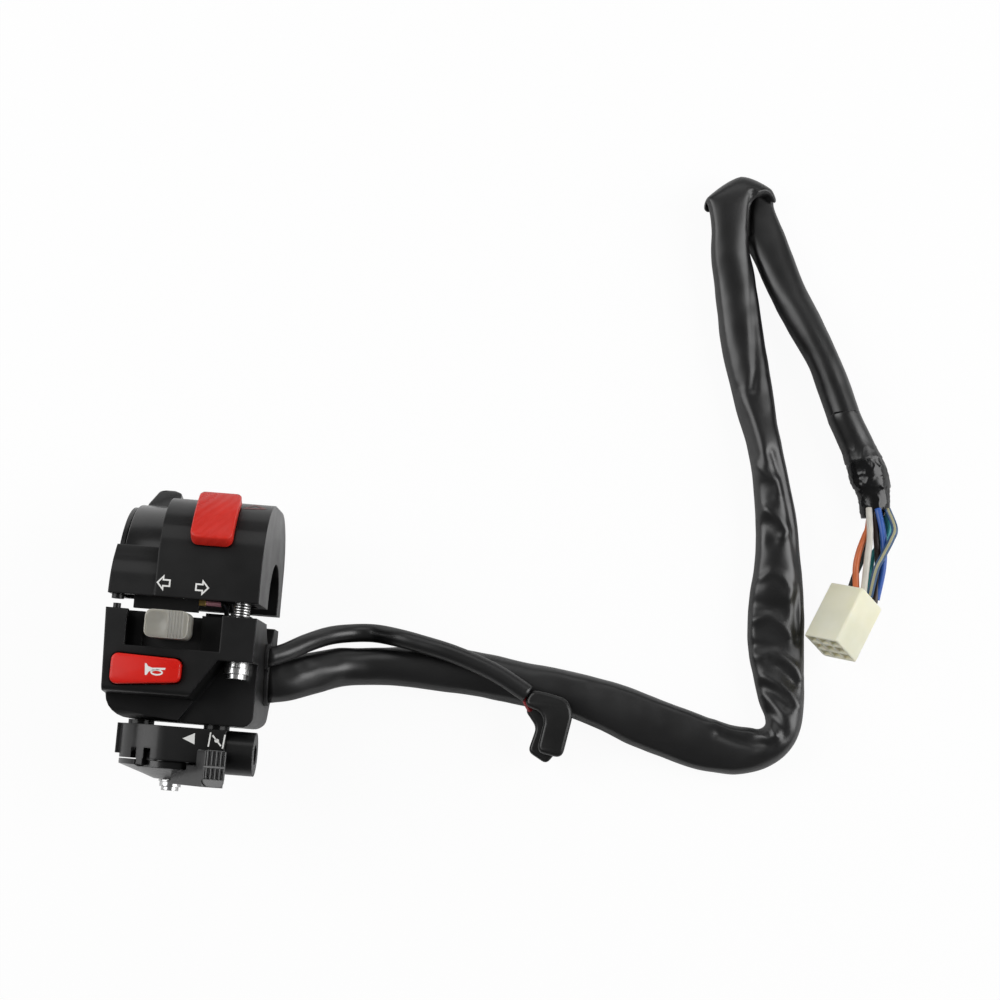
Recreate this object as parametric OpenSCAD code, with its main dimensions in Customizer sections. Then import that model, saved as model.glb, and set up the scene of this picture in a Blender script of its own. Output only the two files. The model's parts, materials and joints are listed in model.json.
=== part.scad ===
// Left-hand handlebar switch cluster for a 22 mm bar: two clamped housing halves with hazard, dimmer,
// turn-signal and horn controls, a choke lever below and a wiring harness that ends in a plug.
// X runs along the bar, Z points at the rider, and the part lies on the far side of its housing.

/* [Bar clamp] */
// Radius of the handlebar that the halves close on
bar_r = 11.1; // [10.9:0.05:11.4]
// Width of the housing along the bar
housing_w = 39; // [38.5:0.5:42]
// How far below the bar axis the upper half ends
split_drop = 2; // [1.6:0.1:2.6]
// Open gap between the two halves
clamp_gap = 3.8; // [3.4:0.1:4.4]
// Wall thickness of the mouldings
wall = 2.2; // [1.8:0.1:2.4]
// Thickness of the tunnel wall round the bar
tunnel_wall = 2.1; // [1.6:0.1:2.3]
// Distance from the bar axis to the flat far side
far_d = 18.5; // [18.2:0.1:19.5]
// Distance from the bar axis to the rider's face of the upper half
front_d = 30.5; // [30:0.1:31.5]
// Height of the upper half above the bar axis
top_h = 25.5; // [25:0.1:27]
// Radius of the shoulder between the rider's face and the top
front_r = 18.5; // [17:0.1:19]
// Radius of the shoulder between the top and the far side
back_r = 16; // [14:0.1:17]
// Radius of the clamp screws
screw_r = 2; // [1.8:0.05:2.2]
// Place of the near clamp screw along the bar
near_screw_x = 14.5; // [14:0.1:14.8]
// Distance of the near clamp screw from the bar axis
near_screw_z = 23.5; // [23.3:0.1:24.5]
// Place of the far clamp screw along the bar
far_screw_x = -12; // [-14:0.1:-8]

/* [Lower half] */
// Distance from the bar axis to the rider's face of the lower half
lower_front_d = 31; // [30.8:0.1:32]
// Depth of the lower half below the bar axis
lower_d = 33.5; // [33:0.1:35]
// Rider's face left below the horn button, where the face steps back
horn_under = 1.6; // [1.4:0.1:2.2]
// How far the face steps back there
step_in = 7; // [6:0.1:7.4]
// Inward draft of the grip end over its height
grip_draft = 1.2; // [0.2:0.1:1.2]
// Radius of the lower corner at the grip end
grip_corner_r = 6; // [3:0.1:8]
// Thickness of the inner deck that carries the contact boards
deck_t = 2; // [1.6:0.1:2.2]
// Distance from the bar axis to the deck
deck_z = 15; // [14.8:0.1:15.4]
// Depth below the bar axis of the screw seats
seat_d = 17.2; // [17:0.1:17.6]

/* [Hazard slider] */
// Width of the red slider along the bar
hazard_w = 11; // [10.4:0.1:11.4]
// Length of the slider above the middle of the shoulder
hazard_up = 9.5; // [8.5:0.1:10]
// Length of the slider below the middle of the shoulder
hazard_down = 8.1; // [7:0.1:8.5]
// Place of the slider along the bar when off
hazard_x = 5.9; // [5.6:0.1:6.2]
// Travel of the slider
hazard_travel = 4.5; // [3.5:0.1:4.8]
// Height of the slider's crown above the shoulder
hazard_crown = 2.9; // [2.2:0.1:3.4]
// Tilt of the slider away from the rider
hazard_tilt = 40; // [36:1:44]

/* [Dimmer lever] */
// Outer radius of the lever's band
band_r = 24.3; // [24:0.1:24.6]
// Thickness of the band
band_t = 2; // [1.6:0.1:2.4]
// Width of the band along the bar
band_w = 10.1; // [9.8:0.1:10.3]
// Swing of the lever
dimmer_swing = 14; // [10:1:14]
// Angle of the band's lower end from the vertical
band_front = 64; // [60:1:66]
// Angle of the band's far end from the vertical
band_back = 33; // [28:1:34]
// Radius that the thumb tab reaches
tab_r = 30.2; // [28.5:0.1:30.5]

/* [Turn switch] */
// Width of the grey knob
turn_knob_w = 11.2; // [10.6:0.1:12]
// Height of the grey knob
turn_knob_h = 7.2; // [7:0.1:7.8]
// How far the knob stands out of the rider's face
turn_proud = 3.6; // [2.6:0.1:4.5]
// Travel of the knob to each side
turn_travel = 4.2; // [3:0.1:4.2]
// Travel of the knob when pressed to cancel
turn_press = 1.4; // [1:0.1:1.4]
// Width of the recess round the knob
turn_window_w = 24.4; // [24:0.1:24.8]
// Depth of the recess below the split
turn_window_h = 9.3; // [9:0.1:9.6]

/* [Horn button] */
// Length of the red button
horn_w = 17.9; // [17.4:0.1:18.4]
// Height of the button at the grip end
horn_h = 8.1; // [7.6:0.1:8.2]
// Height of the button at its other end
horn_h_small = 5.9; // [5.6:0.1:6.6]
// How far the button stands out of the rider's face
horn_proud = 2.3; // [2.1:0.1:3]
// Travel of the button
horn_travel = 2; // [1.5:0.1:2]

/* [Choke] */
// Outer radius of the choke drum
drum_r = 14; // [13.6:0.1:14.6]
// Height of the choke holder
holder_h = 8.9; // [8.4:0.1:9.6]
// Gap between the lower half and the holder
holder_gap = 1.2; // [0.8:0.1:2]
// Radius of the cable guide
guide_r = 5.7; // [5:0.1:6]
// Length of the cable guide
guide_l = 7.2; // [6.5:0.1:9]
// Radius of the bore that takes the choke cable's outer
guide_bore_r = 2.6; // [2.2:0.05:3]
// Radius of the spool that pulls the cable
spool_r = 8; // [7.5:0.1:9]
// Radius of the pivot screw
pivot_r = 1.75; // [1.5:0.05:2]
// Angle of the thumb grip from the rider's direction
grip_angle = 35; // [33:1:36]
// Distance from the pivot to the outside of the thumb grip
grip_reach = 25; // [24.5:0.1:27]

/* [Harness] */
// Half width of the flattened sleeve
sleeve_half_w = 6; // [5:0.1:6]
// Half height of the flattened sleeve
sleeve_half_h = 4.8; // [4:0.1:4.8]
// Radius of the clutch lead
lead_r = 2.5; // [2:0.1:2.6]
// Radius of one insulated wire
wire_r = 0.9; // [0.7:0.05:1]
// Side of the square plug
plug_side = 11.5; // [10.5:0.1:12]
// Length of the plug
plug_l = 17; // [16:0.1:18]
// Pitch of the plug's contact ways
plug_pitch = 3.6; // [3.3:0.1:3.7]

/* [Hidden] */
$fn = 64;
// Clearance between sliding faces
slide_gap = 0.35;
// Radial clearance of shafts and screws in their holes
shaft_gap = 0.06;
// Clearance of pieces that are seated by hand
seat_gap = 0.05;
// Length that cuts run past a face
over = 1;
// Points on a rounded corner
corner_n = 6;
// Points on a shoulder
shoulder_n = 14;

half_w = housing_w/2;
split_y = -split_drop;
lower_top = split_y - clamp_gap;
floor_z = -far_d;
tunnel_r = bar_r + tunnel_wall;
inner_half_w = half_w - wall;
head_r = 1.65*screw_r;
head_h = 1.45*screw_r;
lock_t = 1.3;
lock_r = 1.6*screw_r;
far_screw_z = -(bar_r + far_d)/2;
far_seat_d = seat_d - 3.3;
near_tip = 5.5;
far_tip = 9;
boss_r = max(2*screw_r, inner_half_w - near_screw_x + wall/2);

// Centre of the shoulder that the hazard slider rides on
shoulder_c = [top_h - front_r, front_d - front_r];

// Dimmer channel
flange_t = 1.2;
channel_x0 = -half_w + flange_t;
band_x0 = channel_x0 + slide_gap;
band_x1 = band_x0 + band_w;
channel_x1 = band_x1 + slide_gap;
channel_r = band_r - band_t - 0.4;
channel_stop = 0.8;
flange_drop = 0.8;
skin_r = channel_r - wall;
bulge_r = 16;
bulge_c = [split_y, front_d - 0.3 - bulge_r];
stem_a0 = 36;
stem_a1 = 44;
stem_play = 1.5;
stem_w = 3.5;
stem_x0 = band_x0 + 2.4;
stem_r0 = tunnel_r + 3;
tab_lean = -12;
tab_x0 = band_x0 + 0.95;
tab_x1 = tab_x0 + 8.35;
tab_foot = band_r - band_t/2;
// Reach of the tab's foot to the front and to the back
tab_foot_front = 5;
tab_foot_back = 4.5;
cavity_z = 3;
inner_wall_x = channel_x1 + 2;

// Hazard slider
knob_gap = 0.3;
crown_r = 32;
hazard_stem_x = hazard_x - 2.2;
hazard_stem_w = 4;
hazard_stem_h = 4.4;
carriage_w = 9;
carriage_t = 2;
carriage_top = sqrt(pow(front_r - wall, 2) - pow(carriage_w/2, 2)) - slide_gap;
carriage_bottom = carriage_top - carriage_t;
bridge_t = 1.2;
board_t = 1.6;
hazard_board_top = carriage_bottom - bridge_t - 0.1;
hazard_board_h = 14;
hazard_board_x0 = inner_wall_x + 0.3;
hazard_board_x1 = inner_half_w - 0.3;
hazard_posts_x = [hazard_board_x0 + 4, hazard_board_x1 - 3.5];
hazard_post_y = 4.5;
post_r = 2.2;
board_screw_r = 1;
board_head_r = 1.9;
board_head_h = 0.9;
board_screw_l = 5;

// Insulator plate that hangs into the gap
plate_x0 = -14.6;
plate_x1 = 2.4;
plate_t = 1.8;
plate_z = tunnel_r + 4.2;
plate_drop = 2.7;
plate_rise = 5;
plate_posts_x = [plate_x0 + 3.5, plate_x1 - 3.5];
plate_post_y = split_y + 2.4;

// Turn switch
turn_x = -3;
turn_window_x = -1.6;
deck_front = deck_z + deck_t;
board_front = deck_front + board_t;
slider_z = board_front + 1.3;
slider_t = 3;
slider_front = slider_z + slider_t;
slider_half_w = 9;
deck_top = lower_top - 0.7;
slider_top = lower_top - 0.8;
window_y = lower_top - turn_window_h;
slider_bottom = window_y - 0.7;
shelf_top = slider_bottom - 0.3;
shelf_t = 1;
shelf_x = [-inner_half_w - over, near_screw_x - boss_r + over];
lip_t = 1;
lip_z = slider_front + 0.3;
turn_knob_y = lower_top + 0.2 - turn_knob_h/2;
turn_knob_back = lip_z + lip_t + slide_gap + turn_press;
turn_knob_front = lower_front_d + turn_proud;
turn_stem_w = 2.7;
turn_stem_h = 2.7;
turn_stem_back = board_front + 0.4 + turn_press;
turn_spring_turns = 3;
dish_r = 8;
dish_depth = 0.55;
knob_grooves = 5;
knob_groove_r = 0.32;
front_cavity_x1 = near_screw_x - boss_r + 0.1;

// Horn button
horn_board_x1 = 0.8;
horn_board_y = -28;
horn_screw_y = horn_board_y + 2.2;
horn_x0 = -inner_half_w + 0.9;
horn_x1 = horn_x0 + horn_w;
horn_below = 11.5;
horn_top = lower_top - horn_below;
// Height below the bar axis where the rider's face steps back
step_d = horn_h - horn_top + horn_under;
horn_corner_r = 1.8;
horn_drop = 0.5;
horn_back = lip_z + lip_t + 0.3 + horn_travel;
horn_front = lower_front_d + horn_proud;
horn_flange_t = lower_front_d - wall - 0.4 - horn_back;
horn_flange = 1.2;
horn_c = [(horn_x0 + horn_x1)/2, horn_top - 4.6];
plunger_r = 2.2;
horn_pad_t = 0.7;
horn_pad_r = 1.8;
plunger_back = board_front + horn_pad_t + 0.3 + horn_travel;
horn_spring_r = 2.9;
horn_spring_turns = 5;
spring_wire_r = 0.35;

// Tongue of the far wall that covers part of the gap
tongue_x = [-0.5, 12];

// Scooped corner in front of the near clamp screw
scoop_z = near_screw_z - head_r - 0.4;
scoop_x = 10.4;
scoop_run = 0.7;
scoop_wall = 1.6;
scoop_slope = 0.684;

// Lean of the face below the step and the room behind it
face_lean = 9;
low_room_z = 19.8;

// Harness outlet in the end wall
outlet_y = -20;
outlet_z = -2.5;
outlet_r = 6.2;
lead_outlet = [-14.2, 4.8];
lead_outlet_r = lead_r + 0.2;
collar_t = 1;
collar_rim = 0.8;
outlet_x = half_w + collar_t;

// Choke
pivot_x = -2.2;
pivot_z = 8;
holder_top = -lower_d - holder_gap;
holder_bottom = holder_top - holder_h;
holder_roof = 1.8;
drum_wall = 1.8;
block_x1 = 13.2;
block_front = pivot_z + drum_r;
guide_y = holder_top - guide_r + 0.1;
guide_z = pivot_z + spool_r;
guide_spigot_r = 3.4;
guide_spigot_l = 3;
guide_x1 = block_x1 + guide_l;
cable_r = 1;
lip_r = drum_r + 1.2;
disc_gap = 0.3;
disc_top = holder_bottom - disc_gap;
disc_rim = 1.3;
dome_drop = 4.6;
disc_bottom = disc_top - dome_drop;
hub_r = 4.4;
spool_top = holder_top - holder_roof - 0.4;
groove_half = 1.4;
groove_depth = 1.6;
notch_angle = -29;
notch_w = 2;
notch_step = 9;
stop_l = 1.6;
stop_half = 4;
stop_play = 2;
choke_swing = 60;
grip_w = 6.2;
grip_t = 4.9;
grip_top = holder_bottom + 3.6;
grip_bottom = disc_bottom - 1;
grip_ribs = 5;
grip_rib_r = 0.55;
// Rows of ribs as shares of the grip's height
grip_rows = [[0.22, 0.52], [0.58, 0.98]];
washer_t = 0.5;
washer_r = 3.1;
pivot_head_r = 2.8;
pivot_head_h = 2.3;
holder_screws = [[-11.4, 8], [9.2, 12]];
holder_boss_r = 3.4;
holder_screw_r = 1.5;
holder_head_r = 2.7;
holder_head_h = 1.8;

// Line of the sleeve from the grommet to the tape: place, lift off the table and how far it is pressed wide
lay_z = floor_z + 4.9;
table_gap = 0.1;
press_rise = 0.5;
function sleeve_half(spread) = [sleeve_half_w + spread, sleeve_half_h - press_rise*spread];
outlet_lift = outlet_z - floor_z - table_gap - sleeve_half_h;
sleeve_line = [
  [outlet_x, outlet_y, outlet_lift, 0], [25, -19.2, outlet_lift - 0.7, 0], [31, -17.2, 6.9, -0.3],
  [38, -14.8, 2.6, -0.8], [45, -13.8, 0.4, -1], [54, -13, 0, -0.6], [66, -12.9, 0, 0], [77, -13.6, 0, 0],
  [88, -15, 0, -0.2], [99, -16.4, 0, 0], [110, -18.8, 0, 0.7], [121, -22.2, 0, 1.2], [130, -25, 0, 1.3],
  [138, -27.3, 0, 1.3], [146, -28.4, 0, 0.7], [151.8, -28, 0, 0], [156.4, -26.4, 0, -1],
  [159.4, -23, 0, -1.4], [160.2, -18.6, 0, -0.9], [159.2, -12.6, 0, 0.4], [157, 0, 0, 1.6],
  [156.2, 13.5, 0, 1.5], [155.8, 24.4, 0, 0.4], [154.5, 36.2, 0, -0.4], [150.2, 55, 0, -1.4],
  [146.3, 68.8, 0, -0.4], [142, 84.8, 0, 0], [138.6, 102, 0.6, -0.2], [136.4, 112, 3.4, -0.5],
  [135.6, 119, 6.6, -0.6], [136.2, 125, 7.6, -0.8], [138.6, 129.2, 6.4, -1], [141.8, 130.2, 3.8, -1],
  [144.8, 127.6, 1.4, -1], [146.6, 122.4, 0.2, -0.9], [148, 115.4, 0, -0.8], [152.8, 102.6, 0, -0.9],
  [158.6, 91.8, 0, -1.1], [164.6, 81.4, 0, -1.7], [168.4, 73.2, 0, -1.5], [171.8, 65, 0, -1.7]];
sleeve_halves = [for (p = sleeve_line) sleeve_half(p[3])];
sleeve_route = [for (p = sleeve_line) [p.x, p.y, floor_z + table_gap + sleeve_half(p[3])[1] + p.z]];
tape_line = [[171.8, 65, -1.3], [176, 57.4, -1.3], [179.2, 50.4, -0.8], [181.2, 44, -1.6],
  [181.9, 38.5, -1.9]];
tape_drop = [0, 0.3, 0.6, 1.1, 1.5];
tape_half = [for (i = [0:len(tape_line) - 1])
  [sleeve_half_w + tape_line[i].z, sleeve_half(tape_line[0].z)[1] + 0.2 - tape_drop[i]]];
tape_route = [for (i = [0:len(tape_line) - 1])
  [tape_line[i].x, tape_line[i].y, floor_z + table_gap + tape_half[i][1]]];
lead_route = [
  [outlet_x, lead_outlet[0], lead_outlet[1]], [24.5, -12.4, 2.6], [29.5, -9.2, -2], [35, -6.4, -8],
  [41, -5, -11.8], [47, -4.6, -12], [54, -5.6, -8], [61, -7, -6.8], [68, -8.6, -6], [75, -10.8, -5.7],
  [82, -13.6, -5.6], [90, -18, -5.6]];

// Boots at the end of the clutch lead
boot_w = 6.4;
boot_t = 4.2;
boot_arm = 7;
boot_wall = 1;
// Depth of the terminal's back end in its boot, and the boot left past its front end
boot_neck = 3;
boot_lip = 2;
boots = [[[98.6, -20.6, -5.4], -99, 15], [[97.4, -27.2, -11.6], -115, 9.5]];
boot_wire_r = 0.8;
boot_wires = [
  [[89.4, -17.4, -5.1], [90.7, -18.8, -5.3], [91.8, -19.5, -5.4], [94.2, -19.9, -5.4]],
  [[89.6, -18.6, -6.4], [89.4, -21, -8.6], [90, -23.4, -11], [91.1, -24.2, -11.6], [93.4, -25.3, -11.6]]];

// Plug at the end of the harness
plug_angle = 66;
plug_roll = 44;
plug_tilt = 12;
plug_ways = 3;
plug_corner = 1;
plug_wire_count = 8;
plug_drop = (plug_side/sqrt(2) - plug_corner*(sqrt(2) - 1))*cos(plug_tilt) + plug_l/2*sin(plug_tilt);
plug_c = [174.3, 8.5, floor_z + plug_drop];
wire_start = [181.9, 38.8, lay_z + 0.2];
wire_gather = 0.6;
wire_swell = 0.5;

// Points and outlines
function unit(v) = v/norm(v);
function turn_of(a, b) = atan2(a.x*b.y - a.y*b.x, a*b);
function corner(a, p, b, r, n) =
  let (u = unit(a - p), v = unit(b - p), half = acos(u*v)/2)
  let (c = p + unit(u + v)*r/sin(half), s = p + u*r/tan(half) - c, e = p + v*r/tan(half) - c)
  let (start = atan2(s.y, s.x), sweep = turn_of(s, e))
  [for (i = [0:n]) c + r*[cos(start + sweep*i/n), sin(start + sweep*i/n)]];
function rounded(pts, radii, n) =
  let (m = len(pts))
  [for (i = [0:m - 1]) each radii[i] == 0 ? [pts[i]]
    : corner(pts[(i + m - 1)%m], pts[i], pts[(i + 1)%m], radii[i], n)];
function lerp(a, b, t) = a + (b - a)*t;

// Extrudes an outline drawn in Y and Z along X
module along_x(x0, x1) {
  translate([x0, 0, 0]) rotate([90, 0, 90]) linear_extrude(x1 - x0) children();
}

// Extrudes an outline drawn in X and Z down along Y
module along_y(y_top, h) {
  translate([0, y_top, 0]) rotate([90, 0, 0]) linear_extrude(h) children();
}

module rod_x(y, z, x0, x1, r) {
  translate([x0, y, z]) rotate([0, 90, 0]) cylinder(h = x1 - x0, r = r);
}

module rod_y(x, z, y0, y1, r) {
  translate([x, y0, z]) rotate([-90, 0, 0]) cylinder(h = y1 - y0, r = r);
}

module block(x, y, z) {
  translate([x[0], y[0], z[0]]) cube([x[1] - x[0], y[1] - y[0], z[1] - z[0]]);
}

// Ring sector between two angles that start at the first axis of the outline
module sector(r_in, r_out, a0, a1) {
  intersection() {
    difference() {
      circle(r_out);
      circle(r_in);
    }
    polygon(concat([[0, 0]], [for (i = [0:4]) 2*r_out*[cos(lerp(a0, a1, i/4)), sin(lerp(a0, a1, i/4))]]));
  }
}

// Tube with an elliptic section swept along a route
upright = [0, 0, 1];
function tangent(p, i) = unit(p[min(i + 1, len(p) - 1)] - p[max(i - 1, 0)]);
function ring_at(p, t, w, h, sides, up = upright) =
  let (s = unit(cross(up, t)), u = cross(t, s))
  [for (k = [0:sides - 1]) p + s*w*cos(360*k/sides) + u*h*sin(360*k/sides)];
function tube_faces(rings, sides) = concat(
  [for (i = [0:rings - 2], k = [0:sides - 1])
    each let (a = i*sides + k, b = i*sides + (k + 1)%sides)
    [[a, a + sides, b], [b, a + sides, b + sides]]],
  [for (k = [1:sides - 2]) [0, k, k + 1]],
  [for (k = [1:sides - 2]) let (e = (rings - 1)*sides) [e, e + k + 1, e + k]]);
function tube_points(route, tangents, halves, sides, up) =
  [for (i = [0:len(route) - 1]) each ring_at(route[i], tangents[i], halves[i][0], halves[i][1], sides, up)];
module tube(route, halves, sides) {
  n = len(route);
  tangents = [for (i = [0:n - 1]) i == 0 ? [1, 0, 0] : tangent(route, i)];
  polyhedron(tube_points(route, tangents, halves, sides, upright), tube_faces(n, sides));
}
module free_tube(route, halves, sides, up = upright) {
  n = len(route);
  tangents = [for (i = [0:n - 1]) tangent(route, i)];
  polyhedron(tube_points(route, tangents, halves, sides, up), tube_faces(n, sides));
}

// Coil spring along Z as one unbroken tube
coil_rings = 8;
coil_sides = 6;
function coil_route(r, turns, z0, z1) =
  let (n = turns*coil_rings)
  [for (i = [0:n]) let (a = 360*i/coil_rings) [r*cos(a), r*sin(a), lerp(z0, z1, i/n)]];
module coil(r, turns, z0, z1) {
  route = coil_route(r, turns, z0 + spring_wire_r, z1 - spring_wire_r);
  free_tube(route, [for (p = route) [spring_wire_r, spring_wire_r]], coil_sides);
}
function coil_gap(turns, z0, z1) = (z1 - z0 - 2*spring_wire_r)/turns - 2*spring_wire_r;
echo(horn_spring_gap = coil_gap(horn_spring_turns, board_front, horn_back));
echo(turn_spring_gap = coil_gap(turn_spring_turns, slider_front, turn_spring_top));

// Upper half
module upper_outline(inset, bottom) {
  lo = bottom;
  hi = top_h - inset;
  near = front_d - inset;
  rear = floor_z + inset;
  polygon(rounded([[lo, near], [hi, near], [hi, rear], [lo, rear]],
    [0, front_r - inset, back_r - inset, 0], shoulder_n));
}

module grip_end_outline(inset, bottom) {
  intersection() {
    upper_outline(inset, bottom);
    union() {
      circle(band_r - inset);
      translate(bulge_c) circle(bulge_r - inset);
      polygon([[7, 27.2], [9.8, 25.2], [12.4, 22.7], [15.9, 18.6], [8, 10]]);
    }
  }
}

module bar_slot(y0, y1) {
  rod_x(0, 0, -half_w - over, half_w + over, bar_r);
  block([-half_w - over, half_w + over], [y0, y1], [-bar_r, bar_r]);
}

module upper_cavity() {
  along_x(inner_wall_x, inner_half_w) difference() {
    intersection() {
      upper_outline(wall, split_y - over);
      translate([split_y - over, cavity_z]) square([2*top_h, 2*front_d]);
    }
    circle(tunnel_r);
  }
  along_x(-inner_half_w, inner_wall_x + seat_gap) difference() {
    intersection() {
      union() {
        circle(skin_r);
        translate(bulge_c) circle(bulge_r - wall);
      }
      translate([split_y - over, cavity_z]) square([2*top_h, 2*front_d]);
    }
    circle(tunnel_r);
  }
}

module at_shoulder() {
  translate([0, shoulder_c[0], shoulder_c[1]]) rotate([-hazard_tilt, 0, 0]) children();
}

module hazard_posts(r, z0, z1) {
  for (x = hazard_posts_x) at_shoulder() translate([x, hazard_post_y, z0]) cylinder(h = z1 - z0, r = r);
}

module plate_posts(r, z0, z1) {
  for (x = plate_posts_x) translate([x, plate_post_y, z0]) cylinder(h = z1 - z0, r = r);
}

pin_x = -inner_half_w - 0.1;
pin_z = front_d - wall - 1.4;
pin_r = 1;

// Room for the band's swing outside a radius
module channel_sector(r) {
  sector(r, 2*band_r, -band_back - dimmer_swing - 3, band_front + channel_stop);
}

module upper_housing() {
  color("#262626") difference() {
    union() {
      difference() {
        union() {
          along_x(channel_x1, half_w) upper_outline(0, split_y);
          along_x(-half_w, channel_x1) grip_end_outline(0, split_y);
        }
        upper_cavity();
        along_x(channel_x0, channel_x1) channel_sector(channel_r);
        along_x(-half_w - over, channel_x0 + over) channel_sector(band_r - flange_drop);
        along_x(stem_x0 - slide_gap, stem_x0 + stem_w + slide_gap)
          sector(skin_r - 0.3, band_r, stem_a0 - dimmer_swing - stem_play, stem_a1 + stem_play);
      }
      rod_y(near_screw_x, near_screw_z, split_y, near_tip + 1.2, boss_r);
      hazard_posts(post_r, -bar_r, hazard_board_top - board_t);
      plate_posts(post_r, tunnel_r - 1, plate_z);
      rod_y(pin_x, pin_z, split_y - 1.2, split_y + 6, pin_r + 0.6);
    }
    bar_slot(split_y - over, 0);
    rod_y(near_screw_x, near_screw_z, split_y - over, near_tip + 0.4, screw_r + shaft_gap);
    rod_y(far_screw_x, far_screw_z, split_y - over, far_tip + 0.4, screw_r + shaft_gap);
    rod_y(pin_x, pin_z, split_y - 1.2 - over, split_y + 2, pin_r + 0.15);
    hazard_posts(board_screw_r + shaft_gap, hazard_board_top - board_screw_l, hazard_board_top);
    plate_posts(board_screw_r + shaft_gap, plate_z + plate_t - board_screw_l, plate_z + over);
    at_shoulder() block([hazard_stem_x - hazard_stem_w/2 - knob_gap,
      hazard_stem_x + hazard_stem_w/2 + hazard_travel + knob_gap],
      [-hazard_stem_h/2 - knob_gap, hazard_stem_h/2 + knob_gap], [carriage_bottom, 2*front_r]);
  }
}

// Lower half
module lower_outline() {
  step_z = lower_front_d - step_in;
  polygon(rounded([[lower_top, lower_front_d], [-step_d, lower_front_d], [-step_d - 0.6, step_z + 0.6],
    [-lower_d, step_z - 0.4], [-lower_d, -8], [-26, -14], [-17, floor_z], [lower_top, floor_z]],
    [0, 1.5, 1, 4.5, 5, 6, 3, 0], corner_n));
}

module lower_plan() {
  polygon(rounded([[-half_w, lower_top + over], [-half_w + grip_draft, -lower_d], [half_w, -lower_d],
    [half_w, lower_top + over]], [0, grip_corner_r, 3, 0], corner_n));
}

// Place of the scooped corner's edge at a height
function scoop_edge(y) = scoop_x + (y + seat_d)*scoop_slope;

module front_cavity() {
  face = lower_front_d - wall;
  block([-inner_half_w, front_cavity_x1], [shelf_top - shelf_t/2, lower_top + over], [deck_front, face]);
  block([-inner_half_w, front_cavity_x1], [deck_top, lower_top + over], [deck_z, deck_front + over]);
  intersection() {
    along_x(-inner_half_w, front_cavity_x1) polygon([[shelf_top, deck_front], [shelf_top, face],
      [-step_d + 1.6, face], [-step_d + 1.6, low_room_z], [-lower_d + wall, low_room_z],
      [-lower_d + wall, deck_front]]);
    linear_extrude(2*face) polygon([[-half_w, shelf_top], [scoop_edge(shelf_top) - scoop_wall, shelf_top],
      [scoop_edge(-lower_d) - scoop_wall, -lower_d], [-half_w, -lower_d]]);
  }
}

module rear_cavity() {
  roof = -tunnel_r - wall/2;
  along_x(-inner_half_w, inner_half_w) polygon([[roof, -9], [-27.5, -9], [-lower_d + wall, -5],
    [-lower_d + wall, deck_z], [roof, deck_z]]);
  rod_x(outlet_y, outlet_z, inner_half_w - 3, inner_half_w, outlet_r + collar_rim + 0.3);
}

module outlet_hole(x0, x1, grow) {
  rod_x(outlet_y, outlet_z, x0, x1, outlet_r + grow);
  rod_x(lead_outlet[0], lead_outlet[1], x0, x1, lead_outlet_r + grow);
}

module horn_outline(grow) {
  polygon(rounded([[horn_x0 - grow, horn_top + grow], [horn_x0 - grow, horn_top - horn_h - grow],
    [horn_x1 + grow, horn_top - horn_drop - horn_h_small - grow],
    [horn_x1 + grow, horn_top - horn_drop + grow]],
    [horn_corner_r, horn_corner_r, horn_corner_r, horn_corner_r], corner_n));
}

module scoop() {
  tilt = atan2(lower_front_d - scoop_z, scoop_run);
  lean = atan(scoop_slope);
  intersection() {
    block([0, half_w + over], [-lower_d - over, -seat_d], [scoop_z, lower_front_d + over]);
    translate([scoop_x, -seat_d, lower_front_d]) rotate([0, 0, -lean]) rotate([0, tilt, 0])
      translate([0, -60, 0]) cube([60, 120, 60]);
  }
}

// Front wall of the turn slider's guide, open where the knob's stem and spring travel
module turn_guide() {
  reach = turn_spring_wide + turn_travel + slide_gap;
  for (x = [[shelf_x[0], turn_x - reach], [turn_x + reach, shelf_x[1]]])
    block(x, [shelf_top - shelf_t, lower_top], [lip_z, lip_z + lip_t]);
}

// Cut for the face below the step, which leans back towards the scoop
module lean_cut() {
  translate([-half_w, -step_d - 0.6, lower_front_d - step_in + 0.6]) rotate([0, face_lean, 0])
    translate([0, -lower_d, 0]) cube([(half_w + scoop_x)/cos(face_lean), lower_d, 2*step_in]);
}

module deck_holes(r) {
  for (p = deck_screws) translate([p[0], p[1], deck_z - over]) cylinder(h = deck_t + 2*over, r = r);
}
deck_screws = [[-13.5, deck_top - 2.2], [7, deck_top - 2.2], [-14.6, horn_screw_y], [-1.4, horn_screw_y]];

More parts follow.
